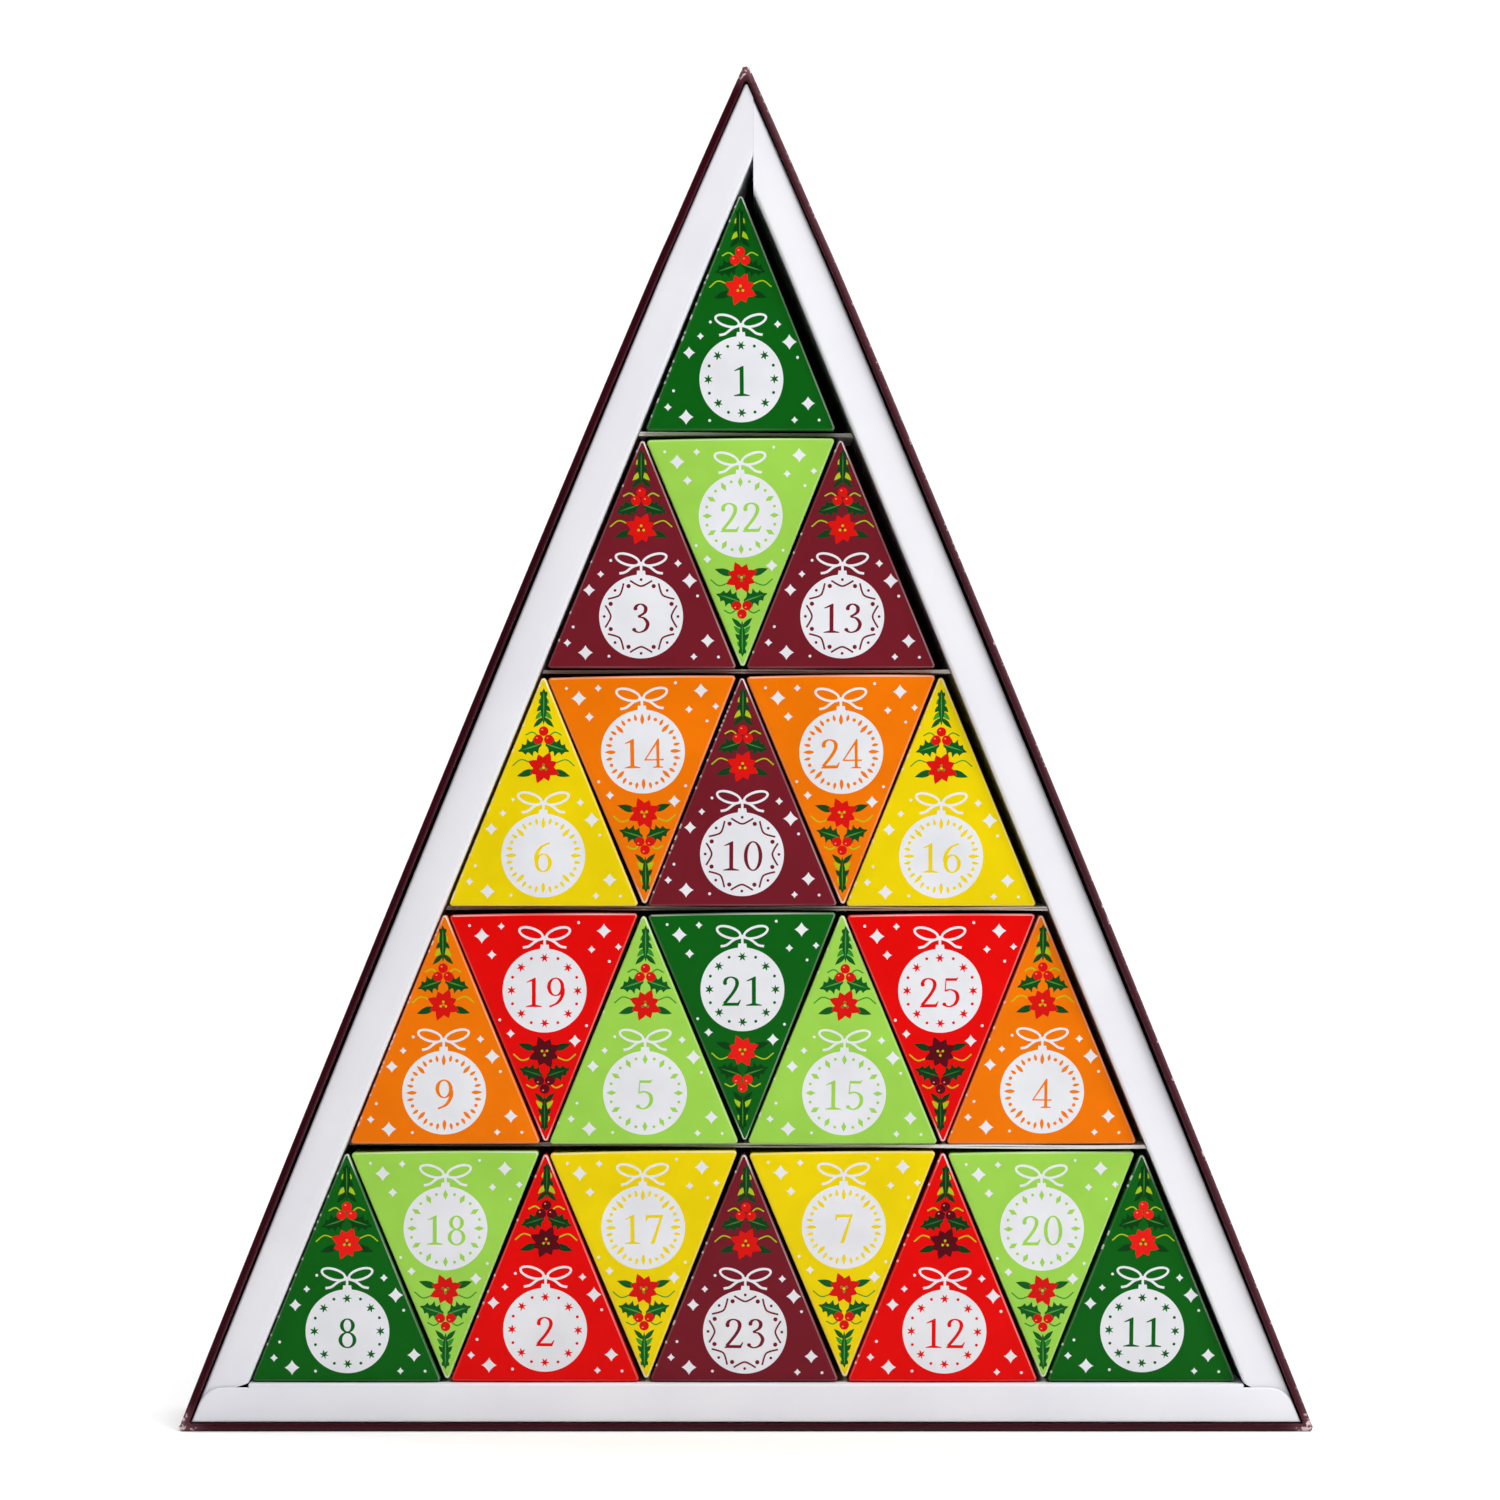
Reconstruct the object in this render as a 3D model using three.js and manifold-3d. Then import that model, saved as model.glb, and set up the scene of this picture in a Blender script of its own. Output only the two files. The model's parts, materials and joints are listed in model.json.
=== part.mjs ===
// Tea advent calendar: a rigid tray shaped like a pointed tree, a folded card frame just below its rim,
// and 25 triangular cartons in five rows, upright and upside down in turn, with card shelves between the rows.
// The box is laid out lying on its back, in millimetres: X across, Y up the tree, Z from the back to the viewer.
// The last group stands it up: its base is on Z = 0, its front faces -Y and its tip points along +Z.

import * as THREE from "three";
import { mergeVertices } from "three/addons/utils/BufferGeometryUtils.js";
import Module from "manifold-3d";

const wasm = await Module();
wasm.setup();

// Driving dimensions of the tree and its rows
const TREE_HALF_ANGLE_DEG = 22.3; // between a sloping side and the centre line
const ROW_NUMBERS = [
  [1],
  [3, 22, 13],
  [6, 14, 10, 24, 16],
  [9, 19, 5, 21, 15, 25, 4],
  [8, 18, 2, 17, 23, 7, 12, 20, 11],
]; // from the tip down, each row from left to right, the first carton of a row upright

// Driving dimensions of a carton
const CARTON_BASE = 52.4; // width of its wide edge
const CARTON_DEPTH = 45; // from the face of its door to its back
const CARTON_CARD = 0.5; // folding boxboard
const CARTON_CORNER = 0.8; // outer radius of its three upright folds
const LIP_WIDTH = 2; // glued flanges left behind the torn edges
const DOOR_CREASE = 0.2; // rounding of the door's edges
const HINGE_GAP = 0.3; // between the door and the shell behind it

// Driving dimensions of the shelves
const SHELF_CARD = 1; // two plies of card
const SHELF_RECESS = 1.5; // front edge behind the faces of the doors

// Driving dimensions of the folded frame
const DECK_WIDTH = 10.4;
const FRAME_CARD = 0.6;
const DECK_BELOW_RIM = 0.8;
const DOORS_BELOW_DECK = 3.2;
const TIP_CUT = 1.8; // the seam at the tip lies this far to the right of the centre line
const FLAP_RADIUS = 7; // rounded ends of the bottom deck
const FLAP_RELIEF = 1.4; // step in the bottom deck's edge beyond its fold

// Driving dimensions of the tray
const BOARD = 2.2; // wrapped greyboard
const TRAY_CORNER = 3.6; // outer radius at the tip and at both feet
const RIM_ROUND = 0.5; // wrapped edges of the board

// Clearances
const CARTON_GAP = 1.3; // between neighbouring cartons, along the row
const SIDE_GAP = 1.15; // between the tightest row and the sloping walls
const LEAN = 0.45; // share of a row's side gap by which it has slid to the left
const TOP_GAP = 0.6; // above a row, below the shelf
const SEAT_GAP = 0.3; // between a piece and what carries it
const FRAME_GAP = 0.35; // between the frame and the tray's walls

// Fineness of the rounded corners, in segments per corner
const CORNER_STEPS = 3;
const TRAY_CORNER_STEPS = 8;
const FLAP_STEPS = 8;

// What follows from the driving dimensions
const halfAngle = THREE.MathUtils.degToRad(TREE_HALF_ANGLE_DEG);
const cosAngle = Math.cos(halfAngle);
const sinAngle = Math.sin(halfAngle);
const slope = Math.tan(halfAngle);
const cartonHalf = CARTON_BASE / 2;
const cartonHeight = cartonHalf / slope;
const stagger = cartonHalf + CARTON_GAP; // from one carton to the next in its row
const rowPitch = cartonHeight + TOP_GAP + SHELF_CARD + SEAT_GAP;

const floorLevel = BOARD;
const seatLevel = floorLevel + SEAT_GAP;
const doorFace = seatLevel + CARTON_DEPTH;
const doorBack = doorFace - CARTON_CARD;
const shellFront = doorBack - HINGE_GAP;
const sideDeckTop = doorFace + DOORS_BELOW_DECK;
const bottomDeckTop = sideDeckTop + SEAT_GAP + FRAME_CARD;
const trayDepth = bottomDeckTop + DECK_BELOW_RIM;

const rows = ROW_NUMBERS.map((numbers, index) => ({
  numbers,
  baseY: SEAT_GAP + (ROW_NUMBERS.length - 1 - index) * rowPitch,
  halfWidth: ((numbers.length - 1) / 2) * stagger + cartonHalf,
}));
const tightest = Math.max(...rows.map((row) => row.halfWidth + row.baseY * slope));
const nestHalf = tightest + SIDE_GAP / cosAngle;
const pocketOffset = DECK_WIDTH + FRAME_GAP; // from the nest's sides to the tray's inner walls
const trayOffset = pocketOffset + BOARD;

// The point where two lines of the plan meet. A line holds every point p with nx * p.x + ny * p.y = reach.
function meet(a, b) {
  const scale = a.nx * b.ny - a.ny * b.nx;
  const x = (a.reach * b.ny - a.ny * b.reach) / scale;
  const y = (a.nx * b.reach - a.reach * b.nx) / scale;
  return new THREE.Vector2(x, y);
}

const level = (y) => ({ nx: 0, ny: 1, reach: y });
const upright = (x) => ({ nx: 1, ny: 0, reach: x });

// An isosceles triangle with its base on y = 0 and its sides at the tree's angle. An offset moves a side outwards.
class TreeTriangle {
  constructor(half) {
    this.half = half;
  }

  right(offset) {
    return { nx: cosAngle, ny: sinAngle, reach: this.half * cosAngle + offset };
  }

  left(offset) {
    return { nx: -cosAngle, ny: sinAngle, reach: this.half * cosAngle + offset };
  }

  corners(base, right, left) {
    return [
      meet(this.left(left), level(-base)),
      meet(level(-base), this.right(right)),
      meet(this.right(right), this.left(left)),
    ];
  }
}

const nest = new TreeTriangle(nestHalf);
const cartonPlan = new TreeTriangle(cartonHalf);

// A closed outline through the points, anticlockwise, with corner i rounded to radii[i].
function outline(points, radii = []) {
  const shape = new THREE.Shape();
  points.forEach((corner, i) => {
    const radius = radii[i] ?? 0;
    const back = points.at(i - 1).clone().sub(corner).normalize();
    const ahead = points[(i + 1) % points.length].clone().sub(corner).normalize();
    const half = back.angleTo(ahead) / 2;
    const start = corner.clone().addScaledVector(back, radius / Math.tan(half));
    const end = corner.clone().addScaledVector(ahead, radius / Math.tan(half));
    const inwards = back.clone().add(ahead).normalize();
    const centre = corner.clone().addScaledVector(inwards, radius / Math.sin(half));
    if (i === 0) shape.moveTo(start.x, start.y);
    else shape.lineTo(start.x, start.y);
    if (radius > 0) {
      const from = start.clone().sub(centre).angle();
      const to = end.clone().sub(centre).angle();
      shape.absarc(centre.x, centre.y, radius, from, to, false);
    }
  });
  shape.closePath();
  return shape;
}

// A slab with the given outline between two levels. A round above 0 softens both of its edges.
function slab(shape, from, to, { steps = CORNER_STEPS, round = 0 } = {}) {
  const geometry = new THREE.ExtrudeGeometry(shape, {
    depth: to - from - 2 * round,
    curveSegments: steps,
    bevelEnabled: round > 0,
    bevelThickness: round,
    bevelSize: round,
    bevelOffset: -round,
    bevelSegments: 1,
  });
  return geometry.translate(0, 0, from + round);
}

function toSolid(geometry) {
  const bare = geometry.clone();
  bare.deleteAttribute("normal");
  bare.deleteAttribute("uv");
  const merged = mergeVertices(bare);
  const mesh = new wasm.Mesh({
    numProp: 3,
    vertProperties: merged.attributes.position.array,
    triVerts: new Uint32Array(merged.index.array),
  });
  return new wasm.Manifold(mesh);
}

function toGeometry(solid) {
  const mesh = solid.getMesh();
  const geometry = new THREE.BufferGeometry();
  geometry.setAttribute("position", new THREE.BufferAttribute(mesh.vertProperties, 3));
  geometry.setIndex(new THREE.BufferAttribute(mesh.triVerts, 1));
  const facets = geometry.toNonIndexed();
  facets.computeVertexNormals();
  return facets;
}

const join = (geometries) => toGeometry(geometries.map(toSolid).reduce((sum, next) => sum.add(next)));
const cut = (whole, hole) => toGeometry(toSolid(whole).subtract(toSolid(hole)));

function piece(name, geometry, finish) {
  const mesh = new THREE.Mesh(geometry, new THREE.MeshStandardMaterial(finish));
  mesh.name = name;
  return mesh;
}

// Finishes, with the colours as they look in daylight
const wrapPaper = { color: 0x4a1020, roughness: 0.45, metalness: 0 };
const frameCard = { color: 0xe6e5ea, roughness: 0.6, metalness: 0 };
const shelfCard = { color: 0xdcdad6, roughness: 0.7, metalness: 0 };
const printedCard = {
  darkGreen: 0x0b5a20,
  lime: 0x9bd54b,
  burgundy: 0x7d2030,
  orange: 0xf27000,
  yellow: 0xe6d200,
  red: 0xe10808,
};
const cartonInks = {
  darkGreen: [1, 8, 11, 21],
  lime: [5, 15, 18, 20, 22],
  burgundy: [3, 10, 13, 23],
  orange: [4, 9, 14, 24],
  yellow: [6, 7, 16, 17],
  red: [2, 12, 19, 25],
};

function cartonFinish(number) {
  const ink = Object.keys(cartonInks).find((name) => cartonInks[name].includes(number));
  return { color: printedCard[ink], roughness: 0.4, metalness: 0 };
}

// Rigid tray: a back board and three walls, wrapped as one piece
function makeTray() {
  const outside = nest.corners(trayOffset, trayOffset, trayOffset);
  const shape = outline(outside, outside.map(() => TRAY_CORNER));
  const block = slab(shape, 0, trayDepth, { steps: TRAY_CORNER_STEPS, round: RIM_ROUND });
  const pocket = outline(nest.corners(pocketOffset, pocketOffset, pocketOffset));
  const hollow = slab(pocket, floorLevel, trayDepth + BOARD);
  return piece("case_tray", cut(block, hollow), wrapPaper);
}

// A side strip of the frame, folded to a channel: deck in front, inner wall beside the cartons, outer leg on the
// tray's wall. line gives the strip's own sloping side and far the other one. The strips meet along an upright seam
// beside the centre line, and one of them fills the tip.
function makeSideStrip(name, line, far, seamX, fillsTip) {
  const foot = level(-(DECK_WIDTH - FRAME_CARD - SEAT_GAP));
  const seam = upright(seamX);
  const outerEnd = fillsTip ? far(DECK_WIDTH) : seam;
  const deck = [meet(line(0), foot), meet(line(DECK_WIDTH), foot), meet(line(DECK_WIDTH), outerEnd)];
  if (fillsTip) deck.push(meet(outerEnd, seam));
  deck.push(meet(line(0), seam));
  const leg = (near, away, end) => [
    meet(line(near), foot),
    meet(line(away), foot),
    meet(line(away), end),
    meet(line(near), end),
  ];
  const innerWall = leg(0, FRAME_CARD, seam);
  const outerLeg = leg(DECK_WIDTH - FRAME_CARD, DECK_WIDTH, outerEnd);
  const legTop = sideDeckTop - FRAME_CARD / 2;
  return piece(
    name,
    join([
      slab(outline(anticlockwise(deck)), sideDeckTop - FRAME_CARD, sideDeckTop),
      slab(outline(anticlockwise(innerWall)), seatLevel, legTop),
      slab(outline(anticlockwise(outerLeg)), seatLevel, legTop),
    ]),
    frameCard,
  );
}

const anticlockwise = (points) => (THREE.ShapeUtils.isClockWise(points) ? [...points].reverse() : points);

// The bottom strip, whose deck laps over both side strips and ends in rounded flaps
function makeBottomStrip() {
  const flapTop = level(-FLAP_RELIEF);
  const foot = level(-DECK_WIDTH);
  const foldLeft = meet(nest.left(-SEAT_GAP), level(0));
  const foldRight = meet(nest.right(-SEAT_GAP), level(0));
  const deck = [
    meet(nest.left(DECK_WIDTH), foot),
    meet(nest.right(DECK_WIDTH), foot),
    meet(nest.right(DECK_WIDTH), flapTop),
    new THREE.Vector2(foldRight.x, -FLAP_RELIEF),
    foldRight,
    foldLeft,
    new THREE.Vector2(foldLeft.x, -FLAP_RELIEF),
    meet(nest.left(DECK_WIDTH), flapTop),
  ];
  const radii = [0, 0, FLAP_RADIUS, 0, 0, 0, 0, FLAP_RADIUS];
  const innerWall = [
    meet(nest.left(-SEAT_GAP), level(-FRAME_CARD)),
    meet(nest.right(-SEAT_GAP), level(-FRAME_CARD)),
    foldRight,
    foldLeft,
  ];
  const outerLeg = [
    meet(nest.left(DECK_WIDTH), foot),
    meet(nest.right(DECK_WIDTH), foot),
    meet(nest.right(DECK_WIDTH), level(FRAME_CARD - DECK_WIDTH)),
    meet(nest.left(DECK_WIDTH), level(FRAME_CARD - DECK_WIDTH)),
  ];
  const legTop = bottomDeckTop - FRAME_CARD / 2;
  return piece(
    "frame_bottom",
    join([
      slab(outline(deck, radii), bottomDeckTop - FRAME_CARD, bottomDeckTop, { steps: FLAP_STEPS }),
      slab(outline(innerWall), seatLevel, legTop),
      slab(outline(outerLeg), seatLevel, legTop),
    ]),
    frameCard,
  );
}

// A shelf lies under each row but the lowest and ends just short of the frame's side walls.
function makeShelf(row, number) {
  const top = level(row.baseY - SEAT_GAP);
  const bottom = level(row.baseY - SEAT_GAP - SHELF_CARD);
  const shape = outline([
    meet(nest.left(-SEAT_GAP), bottom),
    meet(nest.right(-SEAT_GAP), bottom),
    meet(nest.right(-SEAT_GAP), top),
    meet(nest.left(-SEAT_GAP), top),
  ]);
  return piece(`shelf_${number}`, slab(shape, seatLevel, doorFace - SHELF_RECESS), shelfCard);
}

// A carton and its door, upright. Its shell is open in front, with lips behind the door's torn edges: the base and
// the left edge where the door turns on the right edge, or both sloping edges where it turns on the wide one.
function makeCarton(number, hingeOnWideEdge) {
  const label = String(number).padStart(2, "0");
  const finish = cartonFinish(number);
  const corners = cartonPlan.corners(0, 0, 0);
  const shape = outline(corners, corners.map(() => CARTON_CORNER));
  const card = -CARTON_CARD;
  const lip = card - LIP_WIDTH;
  const cavity = outline(cartonPlan.corners(card, card, card));
  const mouth = outline(hingeOnWideEdge ? cartonPlan.corners(card, lip, lip) : cartonPlan.corners(lip, card, lip));
  const shell = toSolid(slab(shape, seatLevel, shellFront))
    .subtract(toSolid(slab(cavity, seatLevel + CARTON_CARD, shellFront - CARTON_CARD)))
    .subtract(toSolid(slab(mouth, shellFront - 2 * CARTON_CARD, shellFront + CARTON_CARD)));
  const door = slab(shape, doorBack, doorFace, { round: DOOR_CREASE });
  return [piece(`carton_${label}`, toGeometry(shell), finish), piece(`door_${label}`, door, finish)];
}

function makeRow({ numbers, baseY, halfWidth }) {
  const row = new THREE.Group();
  const sideGap = nestHalf - slope * baseY - halfWidth;
  const middle = (numbers.length - 1) / 2;
  numbers.forEach((number, place) => {
    const inverted = place % 2 === 1;
    const carton = new THREE.Group().add(...makeCarton(number, inverted));
    carton.rotation.z = inverted ? Math.PI : 0;
    const centreX = (place - middle) * stagger - LEAN * sideGap;
    carton.position.set(centreX, inverted ? baseY + cartonHeight : baseY, 0);
    row.add(carton);
  });
  return row;
}

const box = new THREE.Group();
box.add(makeTray());
box.add(makeSideStrip("frame_left", (d) => nest.left(d), (d) => nest.right(d), TIP_CUT, true));
box.add(makeSideStrip("frame_right", (d) => nest.right(d), (d) => nest.left(d), TIP_CUT + SEAT_GAP, false));
box.add(makeBottomStrip());
rows.slice(0, -1).forEach((row, index) => box.add(makeShelf(row, index + 1)));
rows.forEach((row) => box.add(makeRow(row)));

// Stood up, with the middle of its base at the origin
box.rotation.x = Math.PI / 2;
box.position.set(0, trayDepth / 2, trayOffset);

const calendar = new THREE.Group().add(box);
export default calendar;
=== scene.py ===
"""Looks of a tea advent calendar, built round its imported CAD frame.

Lengths are metres in the frame of the CAD model: Z runs up the tree, X to the right and the box opens
towards -Y. A plan point is (x, z) in the plane of the tree's front, and a level is a y. Places and outer
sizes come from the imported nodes. What a node doesn't tell, such as the width of a lip, is a named size of
its class.
"""

from __future__ import annotations

import json
import logging
import math
from collections.abc import Callable, Sequence
from dataclasses import dataclass
from enum import Enum

import bpy
import numpy as np
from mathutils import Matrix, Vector
from mathutils.geometry import delaunay_2d_cdt

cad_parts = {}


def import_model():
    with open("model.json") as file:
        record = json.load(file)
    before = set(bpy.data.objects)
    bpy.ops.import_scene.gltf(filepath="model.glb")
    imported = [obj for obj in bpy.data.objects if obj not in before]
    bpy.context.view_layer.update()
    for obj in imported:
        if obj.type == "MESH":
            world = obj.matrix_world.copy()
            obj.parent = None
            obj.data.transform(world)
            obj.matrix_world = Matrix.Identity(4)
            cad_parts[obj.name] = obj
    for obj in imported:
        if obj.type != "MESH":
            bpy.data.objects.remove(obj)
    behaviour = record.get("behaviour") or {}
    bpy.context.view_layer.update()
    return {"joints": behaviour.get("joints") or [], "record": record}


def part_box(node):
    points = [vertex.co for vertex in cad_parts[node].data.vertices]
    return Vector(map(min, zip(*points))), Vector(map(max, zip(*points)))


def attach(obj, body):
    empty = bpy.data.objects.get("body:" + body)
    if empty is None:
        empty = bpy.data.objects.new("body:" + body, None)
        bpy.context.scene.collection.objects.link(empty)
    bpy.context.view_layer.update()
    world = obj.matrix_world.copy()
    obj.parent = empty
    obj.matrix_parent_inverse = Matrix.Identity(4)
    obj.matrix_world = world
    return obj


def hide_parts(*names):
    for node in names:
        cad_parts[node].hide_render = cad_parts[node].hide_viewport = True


MM = 0.001
HALF_ANGLE = math.radians(22.3)  # between a sloping side of the tree or of a carton and its centre line
SIN, COS, TAN = math.sin(HALF_ANGLE), math.cos(HALF_ANGLE), math.tan(HALF_ANGLE)
BOARD_WHITE = "#e9e8e6"
# the bare board's white, on torn edges and as the painted highlight on crease tops
TORN_AND_HIGHLIGHT_WHITE = "#f4f2ee"
CARTONS = 25
SHELVES = 4
TIP_SEAMS = (2.0 * MM, 2.03 * MM)  # x where the left strip and the right one end at the tip
RIGHT_SLIT = 1.5 * MM  # how far the cut in the right strip's foot runs from its fold

log = logging.getLogger("tea_calendar")


# Colours and nodes


def linear(code: str) -> tuple[float, float, float, float]:
    """Turns an sRGB hex colour to linear light.

    Args:
        code: the colour as #rrggbb.

    Returns:
        Linear red, green and blue, and an alpha of 1.
    """
    shares = [int(code[i : i + 2], 16) / 255 for i in (1, 3, 5)]
    light = [s / 12.92 if s <= 0.04045 else ((s + 0.055) / 1.055) ** 2.4 for s in shares]
    return (light[0], light[1], light[2], 1.0)


class Shading:
    """One node material in the making. Its patterns lie on Object coordinates, in metres.

    A Mix node of colours takes its share at input 0 and its colours at 6 and 7, and gives its result at 2. A
    MapRange node takes the value, the range that it comes from and the one that it goes to.
    """

    def __init__(self, name: str) -> None:
        """Starts an empty material.

        Args:
            name: the material's name.
        """
        self.material = bpy.data.materials.new(name)
        self.material.use_nodes = True
        self.tree = self.material.node_tree
        self.tree.nodes.clear()
        self.place = self.node("TexCoord", output="Object")

    def node(
        self, kind: str, inputs: dict | Sequence = (), output: int | str = 0, **settings
    ) -> bpy.types.NodeSocket | None:
        """Adds one shader node. A noise or Voronoi texture takes the Object coordinates.

        Args:
            kind: the node's type without its "ShaderNode".
            inputs: by name or number, or in their order: a value, a hex colour or a socket to link from.
            output: name or number of the output to give.
            **settings: attributes of the node.

        Returns:
            The output, or nothing where the node has none.
        """
        node = self.tree.nodes.new("ShaderNode" + kind)
        for name, setting in settings.items():
            setattr(node, name, setting)
        given = dict(inputs) if isinstance(inputs, dict) else dict(enumerate(inputs))
        if kind in ("TexNoise", "TexVoronoi"):
            given["Vector"] = self.place
        for key, value in given.items():
            if isinstance(value, bpy.types.NodeSocket):
                self.tree.links.new(value, node.inputs[key])
            else:
                node.inputs[key].default_value = linear(value) if isinstance(value, str) else value
        return node.outputs[output] if node.outputs else None

    def patches(
        self,
        size: float,
        low: float,
        high: float,
        detail: float = 2.0,
        span: tuple[float, float] = (0.3, 0.7),
    ) -> bpy.types.NodeSocket:
        """Lays a patchy field: noise whose middle span is mapped to a range.

        Args:
            size: about how wide a patch is.
            low: the field's least value.
            high: its greatest value.
            detail: octaves of the noise.
            span: the noise values between which the field rises from low to high.

        Returns:
            The field's socket.
        """
        field = self.node("TexNoise", {"Scale": 1 / size, "Detail": detail})
        return self.node("MapRange", [field, *span, low, high])

    def finish(
        self, look: dict, layers: Sequence[tuple[bpy.types.NodeSocket, float]] = ()
    ) -> bpy.types.Material:
        """Closes the material with a Principled shader.

        Args:
            look: the shader's inputs.
            layers: the relief, each layer a height field and its real height in metres.

        Returns:
            The material.
        """
        normal = {}
        for height, depth in layers:
            bump = {"Height": height, "Distance": depth, "Strength": 1.0, **normal}
            normal = {"Normal": self.node("Bump", bump)}
        self.node("OutputMaterial", {"Surface": self.node("BsdfPrincipled", look | normal)})
        return self.material


# Finishes


@dataclass(frozen=True)
class PrintedBoard:
    """Folding boxboard, offset printed and satin varnished.

    The varnish gives a soft sheen over flat strong inks. Ink density drifts a little over a centimetre or
    two, and the board's fibres show as a faint orange peel.
    """

    ink_patch: float = 14 * MM
    fibre: float = 0.7 * MM  # real fibres are finer, and are drawn as coarse as the render shows them
    fibre_depth: float = 0.006 * MM
    wave: float = 18 * MM
    wave_depth: float = 0.16 * MM

    def material(self) -> bpy.types.Material:
        """Makes the material, whose inks come from the attribute print.

        Returns:
            The material.
        """
        shade = Shading("folding_boxboard_printed_satin_varnish")
        ink = shade.node("Attribute", attribute_name="print")
        density = shade.patches(self.ink_patch, 0.95, 1.04)
        fibres = shade.node("TexNoise", {"Scale": 1 / self.fibre, "Detail": 3.0})
        waves = shade.node("TexNoise", {"Scale": 1 / self.wave, "Detail": 1.0})
        look = {
            "Base Color": shade.node("HueSaturation", {"Color": ink, "Value": density}),
            "Roughness": shade.node("MapRange", [fibres, 0.3, 0.7, 0.34, 0.42]),
            "IOR": 1.5,
            "Specular IOR Level": 0.06,
        }
        return shade.finish(look, [(waves, self.wave_depth), (fibres, self.fibre_depth)])


@dataclass(frozen=True)
class RawBoard:
    """The uncoated reverse of folding boxboard and its cut edges: dull, a little warm, with small fibres."""

    fleck: float = 1.6 * MM
    fibre: float = 0.6 * MM
    fibre_depth: float = 0.02 * MM

    def material(self) -> bpy.types.Material:
        """Makes the material.

        Returns:
            The material.
        """
        shade = Shading("folding_boxboard_uncoated_reverse")
        flecks = shade.patches(self.fleck, 0.0, 1.0, 4.0)
        fibres = shade.node("TexNoise", {"Scale": 1 / self.fibre, "Detail": 4.0})
        colour = shade.node("Mix", {0: flecks, 6: "#d9d4c9", 7: "#e6e3db"}, 2, data_type="RGBA")
        look = {"Base Color": colour, "Roughness": 0.85, "IOR": 1.45}
        return shade.finish(look, [(fibres, self.fibre_depth)])


@dataclass(frozen=True)
class CoatedCard:
    """Clay-coated white card, creased and folded: an even matt white with a faint cloudy formation.

    The clay gives a broad soft sheen. Handling leaves it a little greyer in patches of a few centimetres.
    """

    name: str
    light: str
    dark: str
    cloud: float = 30 * MM
    fibre: float = 0.9 * MM
    fibre_depth: float = 0.008 * MM
    wave: float = 26 * MM
    wave_depth: float = 0.12 * MM

    def material(self) -> bpy.types.Material:
        """Makes the material.

        Returns:
            The material.
        """
        shade = Shading(self.name)
        clouds = shade.patches(self.cloud, 0.0, 1.0, 3.0)
        fibres = shade.node("TexNoise", {"Scale": 1 / self.fibre, "Detail": 3.0})
        waves = shade.node("TexNoise", {"Scale": 1 / self.wave, "Detail": 1.0})
        look = {
            "Base Color": shade.node("Mix", {0: clouds, 6: self.light, 7: self.dark}, 2, data_type="RGBA"),
            "Roughness": shade.node("MapRange", [fibres, 0.3, 0.7, 0.5, 0.62]),
            "IOR": 1.5,
        }
        return shade.finish(look, [(waves, self.wave_depth), (fibres, self.fibre_depth)])


@dataclass(frozen=True)
class WrapPaper:
    """Printed wrap paper with a satin laminate, glued round greyboard.

    The film gives long soft highlights. A pale pink haze along the rim's edges, most on the right, is a
    painted highlight together with the film's real haze where it is rubbed. Where the paper is folded or
    rubbed, at the rim and the corners, its ink is broken and the pale stock shows.
    """

    cloud: float = 40 * MM
    fibre: float = 0.8 * MM
    fibre_depth: float = 0.012 * MM
    scuff: float = 1.1 * MM
    crumple_depth: float = 0.3 * MM  # of the folds in the paper where it is rubbed
    speck: float = 2.6 * MM
    haze: float = 0.42  # share of the pale pink haze where the attribute is 1: a painted highlight on the rim's edges, with the rubbed film's real haze

    def material(self) -> bpy.types.Material:
        """Makes the material, whose rubbed places and painted highlights come from a vertex attribute.

        Returns:
            The material.
        """
        shade = Shading("wrap_paper_burgundy_satin_laminate")
        wear = shade.node("Attribute", output="Fac", attribute_name="wear")
        scuffs = shade.node("TexNoise", {"Scale": 1 / self.scuff, "Detail": 6.0})
        ragged = shade.node("Math", [wear, scuffs], operation="MULTIPLY")
        squared = shade.node("Math", [wear, 2.0], operation="POWER")
        layers = (
            (shade.patches(self.cloud, 0.0, 1.0), "#30030d"),
            # pale pink haze: a painted highlight on the rim's edges, most on the right, with some real haze
            # of rubbed film
            (shade.node("Math", [squared, self.haze], operation="MULTIPLY"), "#b07c88"),
            (shade.node("MapRange", [ragged, 0.4, 0.47, 0.0, 0.9]), "#e4cccc"),
            (shade.patches(self.speck, 0.0, 0.35, 5.0, (0.77, 0.81)), "#c9a3a0"),
        )
        colour = "#3a0412"
        for share, layer in layers:
            colour = shade.node("Mix", {0: share, 6: colour, 7: layer}, 2, data_type="RGBA")
        fibres = shade.node("TexNoise", {"Scale": 1 / self.fibre, "Detail": 3.0})
        look = {
            "Base Color": colour,
            "Roughness": shade.node("MapRange", [fibres, 0.3, 0.7, 0.26, 0.36]),
            "IOR": 1.5,
            "Specular IOR Level": 0.1,
        }
        return shade.finish(look, [(ragged, self.crumple_depth), (fibres, self.fibre_depth)])


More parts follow.
